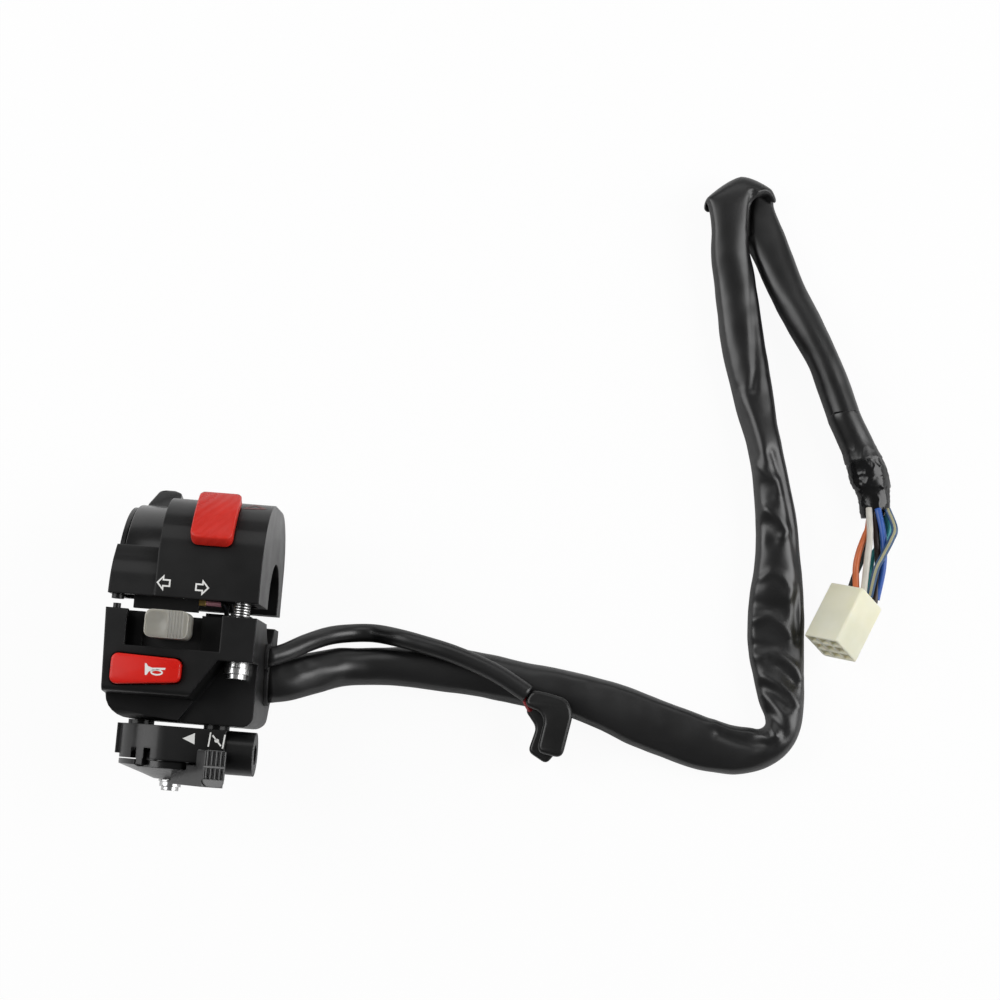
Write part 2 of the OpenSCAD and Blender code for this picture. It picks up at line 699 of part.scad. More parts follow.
module lower_housing() {
  color("#242424") difference() {
    union() {
      difference() {
        intersection() {
          along_x(-half_w, half_w) lower_outline();
          translate([0, 0, floor_z - over]) linear_extrude(far_d + lower_front_d + 2*over) lower_plan();
        }
        front_cavity();
        rear_cavity();
      }
      block(shelf_x, [shelf_top - shelf_t, shelf_top], [deck_front - over, lip_z]);
      block(shelf_x, [shelf_top - shelf_t, shelf_top + 1.2], [lip_z, lip_z + lip_t]);
      turn_guide();
      block(tongue_x, [lower_top - over, split_y - 0.6], [floor_z, floor_z + 4]);
      rod_y(pin_x, pin_z, lower_top - 8, lower_top, pin_r + 0.9);
      rod_y(pin_x, pin_z, lower_top - 2, lower_top + 1.4, pin_r);
    }
    bar_slot(lower_top, lower_top + 2*over);
    block([turn_window_x - turn_window_w/2, turn_window_x + turn_window_w/2], [window_y, lower_top + over],
      [lip_z + lip_t, lower_front_d + over]);
    translate([0, 0, lip_z + lip_t]) linear_extrude(lower_front_d) horn_outline(0.3);
    scoop();
    lean_cut();
    rod_y(near_screw_x, near_screw_z, -seat_d - over, lower_top + over, screw_r + 0.2);
    rod_y(far_screw_x, far_screw_z, -seat_d - over, lower_top + over, screw_r + 0.2);
    rod_y(far_screw_x, far_screw_z, -lower_d, -far_seat_d, head_r + 0.4);
    outlet_hole(inner_half_w - 0.5, half_w + over, 0);
    rod_x(lead_outlet[0], lead_outlet[1], inner_half_w - 6, half_w, lead_outlet_r);
    deck_holes(board_screw_r + shaft_gap);
    translate([horn_wire[0], horn_wire[1] - 1.4, deck_z - over]) cylinder(h = deck_t + 2*over, r = 1.1);
    block(gap_duct_x, [-tunnel_r - wall - over, lower_top + over], [gap_duct_z - 1.1, gap_duct_z + 1.1]);
    translate([turn_wire[0], turn_wire[1], deck_z - over]) cylinder(h = deck_t + 2*over, r = 1.1);
    for (p = holder_screws)
      rod_y(p[0], p[1], -lower_d - over, -lower_d + wall + over, holder_screw_r + 0.1);
  }
}

// Pan head screw along Y whose seat is at the given height
module pan_screw(x, z, seat, tip, r, hr, hh) {
  rod_y(x, z, seat - over/2, tip, r);
  rod_y(x, z, seat - hh*0.55, seat, hr);
  rod_y(x, z, seat - hh, seat - hh*0.5, hr*0.82);
}

module clamp_screws() {
  color("silver") {
    pan_screw(near_screw_x, near_screw_z, -seat_d - lock_t, near_tip, screw_r, head_r, head_h);
    pan_screw(far_screw_x, far_screw_z, -far_seat_d - lock_t, far_tip, screw_r, head_r, head_h);
  }
}

// Split lock washer on a screw along Y
module lock_washer(x, z, seat) {
  difference() {
    rod_y(x, z, seat - lock_t, seat, lock_r);
    rod_y(x, z, seat - lock_t - over, seat + over, screw_r + shaft_gap);
    block([x - 0.3, x + 0.3], [seat - lock_t - over, seat + over], [z, z + 2*lock_r]);
  }
}

module clamp_washers() {
  color("silver") {
    lock_washer(near_screw_x, near_screw_z, -seat_d);
    lock_washer(far_screw_x, far_screw_z, -far_seat_d);
  }
}

// Hazard slider
module hazard_plan() {
  x0 = hazard_x - hazard_w/2;
  x1 = hazard_x + hazard_w/2;
  polygon(rounded([[x0, -hazard_down], [x1, -hazard_down], [x1, hazard_up], [x0, hazard_up]],
    [2, 2, 1.6, 1.6], corner_n));
}

module hazard_knob() {
  crown_z = front_r + hazard_crown - crown_r;
  color("#d5271f") at_shoulder() {
    intersection() {
      along_x(hazard_x - hazard_w/2, hazard_x + hazard_w/2) difference() {
        translate([0, crown_z]) circle(crown_r);
        circle(front_r + knob_gap);
      }
      linear_extrude(2*front_r) hazard_plan();
    }
    block([hazard_stem_x - hazard_stem_w/2, hazard_stem_x + hazard_stem_w/2],
      [-hazard_stem_h/2, hazard_stem_h/2], [carriage_bottom, front_r + knob_gap + 0.8]);
  }
}

module hazard_carriage() {
  color("#1d1d1d") at_shoulder() difference() {
    block([hazard_stem_x - carriage_w/2, hazard_stem_x + carriage_w/2], [-carriage_w/2, carriage_w/2],
      [carriage_bottom, carriage_top]);
    block([hazard_stem_x - hazard_stem_w/2 - seat_gap, hazard_stem_x + hazard_stem_w/2 + seat_gap],
      [-hazard_stem_h/2 - seat_gap, hazard_stem_h/2 + seat_gap],
      [carriage_bottom - over, carriage_top + over]);
  }
}

// Sprung strip with two bumps under a carriage, drawn along X
module contact_strip(x0, x1, t, thick) {
  l = x1 - x0;
  polygon([[x0, 0], [x0, -thick], [x0 + l*0.15, -thick], [x0 + l*0.25, -t], [x0 + l*0.35, -thick],
    [x0 + l*0.65, -thick], [x0 + l*0.75, -t], [x0 + l*0.85, -thick], [x1, -thick], [x1, 0]]);
}

module hazard_contact_bridge() {
  color("#b9913c") at_shoulder() translate([0, 1.6, carriage_bottom]) rotate([90, 0, 0])
    linear_extrude(3.2) contact_strip(hazard_stem_x - 4, hazard_stem_x + 4, bridge_t, 0.4);
}

module hazard_contact_board() {
  color("#6b4a2b") difference() {
    at_shoulder() block([hazard_board_x0, hazard_board_x1], [-hazard_board_h/2, hazard_board_h/2],
      [hazard_board_top - board_t, hazard_board_top]);
    hazard_posts(board_screw_r + shaft_gap, hazard_board_top - board_t - over, hazard_board_top + over);
  }
}

// Dimmer lever
module tab_plan() {
  polygon(rounded([[tab_x0, tab_foot - 2], [tab_x0, band_r + 0.4], [tab_x0 + 2.2, tab_r - 0.6],
    [tab_x1 - 2.9, tab_r + 0.2], [tab_x1, tab_r - 1], [tab_x1, tab_foot - 2]],
    [0, 1, 1.5, 1.5, 1, 0], corner_n));
}

module dimmer_lever() {
  color("#1f1f1f") {
    along_x(band_x0, band_x1) sector(band_r - band_t, band_r, -band_back, band_front);
    rotate([tab_lean, 0, 0]) intersection() {
      along_x(tab_x0, tab_x1) polygon(rounded([[tab_foot, tab_foot_front], [tab_r, 1.2],
        [tab_r - 0.4, -1.6], [tab_foot, -tab_foot_back]], [0, 1.2, 1.2, 0], corner_n));
      translate([0, 0, -band_r/2]) linear_extrude(band_r) tab_plan();
    }
    along_x(stem_x0, stem_x0 + stem_w) sector(stem_r0, band_r - band_t/2, stem_a0, stem_a1);
  }
}

module dimmer_contact() {
  color("#b9913c") along_x(stem_x0 - 0.8, stem_x0 + stem_w + 0.8)
    sector(stem_r0 - 1.2, stem_r0 - seat_gap, stem_a0 - 1, stem_a1 + 1);
}

module dimmer_contact_board() {
  color("#6b4a2b") along_x(-inner_half_w + 0.3, inner_wall_x - 1)
    sector(tunnel_r + seat_gap, stem_r0 - 1.2 - 0.35, 16, 58);
}

module insulator_plate() {
  color("#171717") difference() {
    block([plate_x0, plate_x1], [split_y - plate_drop, split_y + plate_rise], [plate_z, plate_z + plate_t]);
    plate_posts(board_screw_r + shaft_gap, plate_z - over, plate_z + plate_t + over);
  }
}

feed_y = split_y - 0.1;
feed_half = [0.75, 0.7];
feed_z = plate_z + plate_t/2;
module feed_terminal() {
  color("#c9a24a")
    block([plate_x1, feed_x], [feed_y - feed_half[0], feed_y + feed_half[0]],
      [feed_z - feed_half[1], feed_z + feed_half[1]]);
}

// Turn switch
module turn_slider() {
  color("#1b1b1b") difference() {
    block([turn_x - slider_half_w, turn_x + slider_half_w], [slider_bottom, slider_top],
      [slider_z, slider_front]);
    block([turn_x - turn_stem_w/2 - 0.2, turn_x + turn_stem_w/2 + 0.2],
      [turn_knob_y - turn_stem_h/2 - 0.2, turn_knob_y + turn_stem_h/2 + 0.2],
      [slider_z - over, slider_front + over]);
  }
}

module turn_contact_bridge() {
  color("#b9913c") translate([0, slider_bottom + 2.6, slider_z]) rotate([90, 0, 0])
    linear_extrude(2) contact_strip(turn_x - 7, turn_x + 7, slider_z - board_front - 0.1, 0.4);
}

turn_spring_top = turn_knob_back + 3;
module turn_knob_plan() {
  w = turn_knob_w/2;
  h = turn_knob_h/2;
  polygon(rounded([[-w, -h], [w, -h], [w, h], [-w, h]], [1.8, 1.8, 1.8, 1.8], corner_n));
}

module turn_knob() {
  color("#8f8d86") difference() {
    union() {
      translate([turn_x, turn_knob_y, turn_knob_back]) linear_extrude(turn_knob_front - turn_knob_back)
        turn_knob_plan();
      block([turn_x - turn_stem_w/2, turn_x + turn_stem_w/2],
        [turn_knob_y - turn_stem_h/2, turn_knob_y + turn_stem_h/2], [turn_stem_back, turn_knob_back + 1]);
    }
    translate([turn_x - turn_knob_w*0.22, turn_knob_y, turn_knob_front + dish_r - dish_depth])
      sphere(dish_r);
    for (i = [0:knob_grooves - 1]) rod_y(turn_x + turn_knob_w*(0.06 + 0.07*i), turn_knob_front + 0.1,
      turn_knob_y - turn_knob_h, turn_knob_y + turn_knob_h, knob_groove_r);
    translate([turn_x, turn_knob_y, turn_knob_back - over])
      spring_pocket(turn_spring_top - turn_knob_back + over + 0.1);
  }
}

// Ring pocket that takes the return spring round the knob's stem
spring_play = 0.25;
module spring_pocket(h) {
  difference() {
    cylinder(h = h, r = turn_spring_wide + spring_play);
    translate([0, 0, -over]) cylinder(h = h + 2*over, r = turn_spring_wide - 2*spring_wire_r - spring_play);
  }
}
turn_spring_wide = turn_knob_h/2 - 0.7;

module turn_return_spring() {
  color("silver") translate([turn_x, turn_knob_y, 0])
    coil(turn_spring_wide - spring_wire_r, turn_spring_turns, slider_front, turn_spring_top);
}

module turn_contact_board() {
  color("#6b4a2b") difference() {
    block([-inner_half_w + 0.3, front_cavity_x1 - 1.6], [slider_bottom, deck_top],
      [deck_front, board_front]);
    deck_holes_through();
  }
}

module deck_holes_through() {
  for (p = deck_screws) translate([p[0], p[1], deck_front - over])
    cylinder(h = board_t + 2*over, r = board_screw_r + shaft_gap);
}

// Horn button
module horn_button() {
  color("#d8251d") {
    translate([0, 0, horn_back]) linear_extrude(horn_front - horn_back) horn_outline(0);
    block([horn_x0 + 3, horn_x1 + horn_flange], [horn_top - horn_h + 0.9, horn_top - 1.4],
      [horn_back, horn_back + horn_flange_t]);
    translate([horn_c.x, horn_c.y, plunger_back]) cylinder(h = horn_back - plunger_back + 1, r = plunger_r);
  }
}

module horn_contact_disc() {
  color("#b9913c") translate([horn_c.x, horn_c.y, plunger_back - 0.4])
    cylinder(h = 0.4, r = plunger_r - 0.3);
}

module horn_spring() {
  color("silver") translate([horn_c.x, horn_c.y, 0])
    coil(horn_spring_r, horn_spring_turns, board_front, horn_back);
}

module horn_contact_board() {
  color("#6b4a2b") {
    difference() {
      block([-inner_half_w + 0.3, horn_board_x1], [horn_board_y, shelf_top - shelf_t - 0.3],
        [deck_front, board_front]);
      deck_holes_through();
    }
    translate([horn_c.x, horn_c.y, board_front]) cylinder(h = horn_pad_t - 0.4, r = horn_pad_r);
  }
}

module board_screw(l) {
  translate([0, 0, -l]) cylinder(h = l + 0.1, r = board_screw_r);
  cylinder(h = board_head_h, r = board_head_r);
}

module board_screws() {
  color("silver") {
    for (x = hazard_posts_x)
      at_shoulder() translate([x, hazard_post_y, hazard_board_top]) board_screw(board_screw_l - 0.4);
    for (x = plate_posts_x)
      translate([x, plate_post_y, plate_z + plate_t]) board_screw(board_screw_l - 0.4);
    for (p = deck_screws) translate([p[0], p[1], board_front]) board_screw(board_t + deck_t);
  }
}

// Wires inside the housing
inner_wire_r = 0.65;
module wire_run(route) {
  free_tube(route, [for (p = route) [inner_wire_r, inner_wire_r]], 8, [0.3, 0.2, 1]);
}
feed_x = plate_x1 + 1.8;
gap_duct_x = [8.2, 13.6];
gap_duct_z = 14.2;
duct_low = -tunnel_r - wall - 1.4;
turn_wire = [3, slider_bottom + 0.65];
horn_wire = [-3, horn_board_y];
bore_x = inner_half_w;
function shoulder_point(x, y, z) = [x, shoulder_c[0] + y*cos(hazard_tilt) + z*sin(hazard_tilt),
  shoulder_c[1] - y*sin(hazard_tilt) + z*cos(hazard_tilt)];
feed_run = [[feed_x, feed_y, feed_z], [8.6, feed_y, feed_z], [9.3, -4.4, gap_duct_z],
  [9.3, duct_low, gap_duct_z], [11.4, -20, 1.6], [bore_x, outlet_y + 0.2, outlet_z + 3.1]];
hazard_run = [shoulder_point(8.5, -5, hazard_board_top - board_t), [8.5, 8.2, 21.2], [8.6, 3, 19.4],
  [10.9, -3.6, gap_duct_z], [10.9, duct_low, gap_duct_z], [12.4, -18.3, 1],
  [bore_x, outlet_y + 2, outlet_z + 1.5]];
dimmer_run = [[inner_wall_x - 1, 8.1, 11.5], [inner_wall_x, 8.1, 11.5], [inner_wall_x + 1.8, 8.6, 12.6],
  [8, 8.6, 13], [11, 2.4, 15.6], [12.5, -3.4, gap_duct_z], [12.5, duct_low, gap_duct_z],
  [14.6, -17.2, -1.6], [bore_x, outlet_y + 2.4, outlet_z - 1.1]];
turn_run = [[turn_wire[0], turn_wire[1], deck_front], [turn_wire[0], turn_wire[1] - 0.6, 11], [9, -20.6, -1],
  [bore_x, outlet_y - 0.6, outlet_z - 0.1]];
horn_run = [[horn_wire[0], horn_wire[1], deck_front + 0.8],
  [horn_wire[0], horn_wire[1] - 1.4, deck_front + 0.6], [horn_wire[0], horn_wire[1] - 1.4, 11], [8, -24, -1],
  [bore_x, outlet_y - 2.4, outlet_z]];
module inner_wires() {
  color("#d889a2") wire_run(feed_run);
  color("#3c8f4a") wire_run(hazard_run);
  color("#3a64b8") wire_run(dimmer_run);
  color("#c77f2c") wire_run(turn_run);
  color("#7fb24a") wire_run(horn_run);
}

module cable_grommet() {
  color("#141414") difference() {
    union() {
      outlet_hole(inner_half_w - 0.4, half_w, -0.1);
      outlet_hole(half_w, outlet_x, collar_rim);
      rod_x(outlet_y, outlet_z, inner_half_w - 2, inner_half_w - 0.1, outlet_r + collar_rim);
    }
    rod_x(outlet_y, outlet_z, inner_half_w - 2 - over, inner_half_w + 0.4, outlet_r - 1.6);
  }
}

// Choke
module holder_outline(r) {
  translate([pivot_x, pivot_z]) circle(r);
}

module at_pivot() {
  translate([pivot_x, 0, pivot_z]) children();
}

module choke_holder() {
  color("#202020") difference() {
    union() {
      along_y(holder_top, holder_h) {
        holder_outline(drum_r);
        translate([pivot_x, pivot_z + 2]) square([block_x1 - pivot_x, drum_r - 2]);
      }
      along_y(holder_top, holder_h - 1) intersection() {
        holder_outline(lip_r);
        translate([-2*drum_r, pivot_z - drum_r*0.6]) square([drum_r, drum_r*0.8]);
      }
      for (p = holder_screws) rod_y(p[0], p[1], holder_top - 1, -lower_d, holder_boss_r);
      along_y(holder_bottom + over, stop_l + over) translate([pivot_x, pivot_z])
        sector(drum_r - drum_wall, drum_r, 90 - notch_angle - stop_half, 90 - notch_angle + stop_half);
    }
    at_pivot() rod_y(0, 0, holder_bottom - over, holder_top - holder_roof, drum_r - drum_wall);
    at_pivot() rod_y(0, 0, holder_bottom, holder_top + over, pivot_r + shaft_gap);
    rod_x(guide_y, guide_z, 0, block_x1 - guide_spigot_l + 0.1, cable_r + 0.6);
    rod_x(guide_y, guide_z, block_x1 - guide_spigot_l, block_x1 + over, guide_spigot_r + seat_gap);
    for (side = [-1, 1]) at_pivot() rotate([0, notch_angle + side*notch_step, 0])
      block([-notch_w/2, notch_w/2], [holder_bottom - over, holder_bottom + 2.8], [drum_r - 4, drum_r + 4]);
    for (p = holder_screws)
      rod_y(p[0], p[1], holder_top - holder_roof - over, -lower_d + over, holder_screw_r + shaft_gap);
  }
}

module choke_holder_screws() {
  color("silver") for (p = holder_screws) {
    rod_y(p[0], p[1], holder_top - holder_roof + 0.2, -lower_d + wall, holder_screw_r);
    rod_y(p[0], p[1], -lower_d + wall, -lower_d + wall + holder_head_h, holder_head_r);
  }
}

module choke_cable_guide() {
  color("#1c1c1c") difference() {
    union() {
      rod_x(guide_y, guide_z, block_x1, guide_x1, guide_r);
      rod_x(guide_y, guide_z, block_x1 - guide_spigot_l + 0.2, block_x1, guide_spigot_r);
    }
    rod_x(guide_y, guide_z, block_x1 + 0.8, guide_x1 + over, guide_bore_r);
    rod_x(guide_y, guide_z, block_x1 - guide_spigot_l - over, guide_x1, cable_r + 0.3);
  }
}

// Face of the thumb grip, across and up
module grip_outline() {
  w = grip_w/2;
  polygon(rounded([[-w, grip_bottom], [w, grip_bottom], [w, grip_top], [-w, grip_top]],
    [2.2, 1.6, 0.8, 0.8], corner_n));
}

module choke_lever() {
  color("#2b2b2b") difference() {
    union() {
      at_pivot() rotate([90, 0, 0]) rotate_extrude() polygon([[0, -spool_top], [spool_r + 1.2, -spool_top],
        [spool_r + 1.2, -guide_y - groove_half], [spool_r + 1.2 - groove_depth, -guide_y],
        [spool_r + 1.2, -guide_y + groove_half], [spool_r + 1.2, -disc_top], [drum_r, -disc_top],
        [drum_r, -disc_top + disc_rim], [spool_r, -disc_top + dome_drop*0.72], [hub_r, -disc_bottom],
        [0, -disc_bottom]]);
      at_pivot() rotate([0, grip_angle, 0]) {
        block([-grip_w/2, grip_w/2], [grip_bottom, disc_top - 0.4], [hub_r + 2, grip_reach - 1]);
        translate([0, 0, grip_reach - grip_t]) linear_extrude(grip_t - grip_rib_r) grip_outline();
        for (i = [0:grip_ribs - 1], row = grip_rows) {
          x = lerp(-grip_w/2 + grip_rib_r, grip_w/2 - grip_rib_r, i/(grip_ribs - 1));
          rod_y(x, grip_reach - grip_rib_r, lerp(grip_bottom, grip_top, row[0]),
            lerp(grip_bottom, grip_top, row[1]), grip_rib_r);
        }
      }
    }
    at_pivot() rod_y(0, 0, disc_bottom - over, spool_top + over, pivot_r + shaft_gap);
    along_y(disc_top + over, over + stop_l + 0.1) translate([pivot_x, pivot_z])
      sector(drum_r - drum_wall - 0.4, drum_r + over, 90 - notch_angle - choke_swing - stop_half - stop_play,
        90 - notch_angle + stop_half + stop_play);
  }
}

module choke_washer() {
  color("silver") at_pivot() difference() {
    rod_y(0, 0, disc_bottom - 0.1 - washer_t, disc_bottom - 0.1, washer_r);
    rod_y(0, 0, disc_bottom - over - washer_t, disc_bottom + over, pivot_r + shaft_gap);
  }
}

module choke_pivot_screw() {
  seat = disc_bottom - 0.1 - washer_t;
  color("silver") at_pivot() pan_screw(0, 0, seat, holder_top - 0.3, pivot_r, pivot_head_r, pivot_head_h);
}

// Harness
module harness_sleeve() {
  color("#101010") tube(sleeve_route, sleeve_halves, 12);
}

module tape_wrap() {
  color("#0d0d0d") free_tube(tape_route, tape_half, 12);
}

module at_plug() {
  translate(plug_c) rotate([0, 0, plug_angle]) rotate([0, plug_tilt, 0])
    rotate([plug_roll, 0, 0]) children();
}

// Place across the plug once it is rolled, and a point of the plug in the part's frame
function rolled(w) = [w.x*cos(plug_roll) - w.y*sin(plug_roll), w.x*sin(plug_roll) + w.y*cos(plug_roll)];
function plug_point(x, w) =
  let (r = rolled(w), f = x*cos(plug_tilt) + r.y*sin(plug_tilt), z = r.y*cos(plug_tilt) - x*sin(plug_tilt))
  plug_c + [f*cos(plug_angle) - r.x*sin(plug_angle), f*sin(plug_angle) + r.x*cos(plug_angle), z];

function way(i) = plug_pitch*[i%plug_ways - 1, floor(i/plug_ways) - 1];
function wire_route(i) =
  let (w = way(i), r = rolled(w), out = [-r.x, 0, r.y])
  let (e = plug_point(plug_l/2 - 0.3, w), a = plug_point(plug_l/2 + 3, w), s = wire_start + wire_gather*out)
  let (m = lerp(s, a, 0.5) + wire_swell*[out.x, 0, max(0, out.z)])
  [s, lerp(s, m, 0.5), m, lerp(m, a, 0.55), a, e];
module plug_wires() {
  colors = ["#1f1b19", "#d9642f", "#efece4", "#6fb7cf", "#201a18", "#2a4fb0", "#5f7ea8", "#2b7f86"];
  for (i = [0:plug_wire_count - 1]) {
    route = wire_route(i);
    color(colors[i]) free_tube(route, [for (p = route) [wire_r, wire_r]], 8);
  }
}

module plug_housing() {
  half = plug_side/2;
  color("#e9e4cc") at_plug() difference() {
    translate([-plug_l/2, 0, 0]) rotate([90, 0, 90]) linear_extrude(plug_l)
      polygon(rounded([[-half, -half], [half, -half], [half, half], [-half, half]],
        [plug_corner, plug_corner, plug_corner, plug_corner], 3));
    for (i = [0:plug_ways*plug_ways - 1]) let (w = way(i))
      translate([-plug_l/2 - over, w.x - 1.3, w.y - 1.3]) cube([plug_l*0.55 + over, 2.6, 2.6]);
  }
}

module plug_terminals() {
  color("#c9a24a") at_plug() for (i = [0:plug_wire_count - 1]) let (w = way(i))
    translate([-plug_l/2 + 1.5, w.x - 1.2, w.y - 1.2]) cube([plug_l*0.55 - 1.6, 2.4, 2.4]);
}

// Clutch switch lead
module clutch_lead() {
  color("#101010") tube(lead_route, [for (p = lead_route) [lead_r, lead_r]], 10);
}

module clutch_wires() {
  color("#b3202a") for (route = boot_wires)
    free_tube(route, [for (p = route) [boot_wire_r, boot_wire_r]], 8);
}

// One right-angle boot: a socket leg along its own X and a wire entry to one side
module at_boot(b) {
  translate(b[0]) rotate([0, 0, b[1]]) children();
}

module clutch_boots() {
  color("#161616") for (b = boots) at_boot(b) difference() {
    union() {
      translate([0, 0, -boot_t/2]) linear_extrude(boot_t) polygon(rounded([[-boot_w/2, -boot_w/2],
        [b[2], -boot_w/2 + 0.3], [b[2], boot_w/2 - 0.3], [-boot_w/2, boot_w/2]],
        [2.2, 0.6, 0.6, 1.2], 4));
      rotate([90, 0, 0]) cylinder(h = boot_arm, r = boot_t/2 - 0.2);
    }
    translate([boot_neck, -boot_w/2 + boot_wall, -boot_t/2 + boot_wall])
      cube([b[2], boot_w - 2*boot_wall, boot_t - 2*boot_wall]);
    translate([0, -boot_arm - over, 0]) rotate([-90, 0, 0]) cylinder(h = 3 + over, r = boot_wire_r + 0.1);
  }
}

module clutch_terminals() {
  color("#c9a24a") for (b = boots) at_boot(b)
    translate([boot_neck, -boot_w/2 + boot_wall + seat_gap, -0.5])
      cube([b[2] - boot_neck - boot_lip, boot_w - 2*boot_wall - 2*seat_gap, 1]);
}

upper_housing();
lower_housing();
clamp_screws();
clamp_washers();
hazard_knob();
hazard_carriage();
hazard_contact_bridge();
hazard_contact_board();
dimmer_lever();
dimmer_contact();
dimmer_contact_board();
insulator_plate();
feed_terminal();
turn_slider();
turn_contact_bridge();
turn_knob();
turn_return_spring();
turn_contact_board();
horn_button();
horn_contact_disc();
horn_spring();
horn_contact_board();
board_screws();
inner_wires();
cable_grommet();
choke_holder();
choke_holder_screws();
choke_cable_guide();
choke_lever();
choke_washer();
choke_pivot_screw();
harness_sleeve();
tape_wrap();
plug_wires();
plug_housing();
plug_terminals();
clutch_lead();
clutch_wires();
clutch_boots();
clutch_terminals();
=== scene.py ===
import json
import math

import bpy
from mathutils import Matrix, Vector, noise
from mathutils.bvhtree import BVHTree
from mathutils.geometry import tessellate_polygon


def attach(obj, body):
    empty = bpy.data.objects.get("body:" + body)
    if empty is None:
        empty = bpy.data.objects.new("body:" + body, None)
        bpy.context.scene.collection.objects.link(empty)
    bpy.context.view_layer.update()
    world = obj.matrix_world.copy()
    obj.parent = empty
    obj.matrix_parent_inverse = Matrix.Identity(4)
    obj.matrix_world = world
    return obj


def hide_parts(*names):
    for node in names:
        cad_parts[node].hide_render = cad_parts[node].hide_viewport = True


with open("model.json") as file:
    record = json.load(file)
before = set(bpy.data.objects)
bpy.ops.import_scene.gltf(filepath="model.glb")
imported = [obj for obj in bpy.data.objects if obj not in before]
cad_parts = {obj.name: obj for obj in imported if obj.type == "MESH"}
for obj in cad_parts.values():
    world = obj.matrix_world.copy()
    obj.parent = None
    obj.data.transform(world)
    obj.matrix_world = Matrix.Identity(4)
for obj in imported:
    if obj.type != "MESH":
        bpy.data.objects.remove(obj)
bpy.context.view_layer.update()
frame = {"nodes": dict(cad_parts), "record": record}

# Lengths are in millimetres, or in metres where a name ends in _M
MM = 0.001
FLOOR_Z = -18.5
FLOOR_GAP = 0.05
scene = bpy.context.scene
nodes = frame["nodes"]

# Camera at the photograph's angle
SENSOR_W = 36
LENS = 80
CLIP_START_M = 0.01
CLIP_END_M = 20
CAMERA_AT = Vector((91.49, -41.08, 598.08))
CAMERA_RIGHT = Vector((0.996679, 0.080550, -0.011905))
CAMERA_UP = Vector((-0.078440, 0.989051, 0.125003))


def make_camera():
    data = bpy.data.cameras.new("camera")
    data.sensor_width = SENSOR_W
    data.lens = LENS
    data.clip_start = CLIP_START_M
    data.clip_end = CLIP_END_M
    cam = bpy.data.objects.new("camera", data)
    scene.collection.objects.link(cam)
    turn = Matrix((CAMERA_RIGHT, CAMERA_UP, CAMERA_RIGHT.cross(CAMERA_UP))).transposed().to_4x4()
    cam.matrix_world = Matrix.Translation(CAMERA_AT * MM) @ turn
    scene.camera = cam


make_camera()

# Part of a noise's range over which a material drifts
DRIFT_START = 0.3
DRIFT_END = 0.7
PATCH_DETAIL = 4
GRAIN_DETAIL = 2
GRAIN_DEPTH = 0.1
COAT_ROUGHNESS = 0.16
SHADER_SAMPLES = 6
# Painted shade in recesses: share of its gloss that a recess keeps, and how open to the light a recess and a
# free face are
SHADED_RECESS_GLOSS = 0.4
SHADED_RECESS_OPEN = 0.55
FACE_OPEN = 0.95
# How far red, green and blue light scatter in plastic
SCATTER_M = (0.002, 0.0018, 0.0015)
# How well the softened normal agrees with the face's own where the painted edge highlight is full, and on a
# whole face where there is none
FULL_HIGHLIGHT_AGREES = 0.8
WHOLE_AGREES = 0.985
# Places of the colour sockets on a Mix node
MIX_FROM = 6
MIX_TO = 7
MIX_RESULT = 2


def new_material(name):
    mat = bpy.data.materials.new(name)
    mat.use_nodes = True
    tree = mat.node_tree
    tree.nodes.clear()
    out = tree.nodes.new("ShaderNodeOutputMaterial")
    shader = tree.nodes.new("ShaderNodeBsdfPrincipled")
    tree.links.new(shader.outputs[0], out.inputs[0])
    return mat, tree, shader


def noise_node(tree, size_mm, detail):
    """Noise over the object's own coordinates, with features of about that size."""
    coords = tree.nodes.new("ShaderNodeTexCoord")
    tex = tree.nodes.new("ShaderNodeTexNoise")
    tex.inputs["Scale"].default_value = 1 / (size_mm * MM)
    tex.inputs["Detail"].default_value = detail
    tree.links.new(coords.outputs["Object"], tex.inputs["Vector"])
    return tex.outputs["Fac"]


def colors_between(tree, factor, low, high):
    ramp = tree.nodes.new("ShaderNodeValToRGB")
    first, last = ramp.color_ramp.elements
    first.position = DRIFT_START
    last.position = DRIFT_END
    first.color = (*low, 1)
    last.color = (*high, 1)
    tree.links.new(factor, ramp.inputs[0])
    return ramp.outputs[0]


def values_between(tree, factor, low, high, start=DRIFT_START, end=DRIFT_END):
    span = tree.nodes.new("ShaderNodeMapRange")
    span.inputs["From Min"].default_value = start
    span.inputs["From Max"].default_value = end
    span.inputs["To Min"].default_value = low
    span.inputs["To Max"].default_value = high
    tree.links.new(factor, span.inputs["Value"])
    return span.outputs[0]


def painted_edge_highlight(tree, color, soft_normal, edge):
    """Painted highlight: lighter colour where the softened normal leaves the face's own, at the rounded
    edges.
    """
    geometry = tree.nodes.new("ShaderNodeNewGeometry")
    dot = tree.nodes.new("ShaderNodeVectorMath")
    dot.operation = "DOT_PRODUCT"
    tree.links.new(soft_normal, dot.inputs[0])
    tree.links.new(geometry.outputs["True Normal"], dot.inputs[1])
    edge_highlight_share = values_between(tree, dot.outputs["Value"], 1, 0, FULL_HIGHLIGHT_AGREES, WHOLE_AGREES)
    mix = tree.nodes.new("ShaderNodeMix")
    mix.data_type = "RGBA"
    mix.inputs[MIX_TO].default_value = (*edge, 1)
    tree.links.new(edge_highlight_share, mix.inputs[0])
    tree.links.new(color, mix.inputs[MIX_FROM])
    return mix.outputs[MIX_RESULT]


def paint_recess_shade(tree, shader, gloss, reach_mm):
    """Painted shade: less gloss where ambient occlusion finds other faces close by."""
    near = tree.nodes.new("ShaderNodeAmbientOcclusion")
    near.samples = SHADER_SAMPLES
    near.inputs["Distance"].default_value = reach_mm * MM
    shaded_gloss = values_between(tree, near.outputs["AO"], SHADED_RECESS_GLOSS * gloss, gloss, SHADED_RECESS_OPEN, FACE_OPEN)
    tree.links.new(shaded_gloss, shader.inputs["Specular IOR Level"])


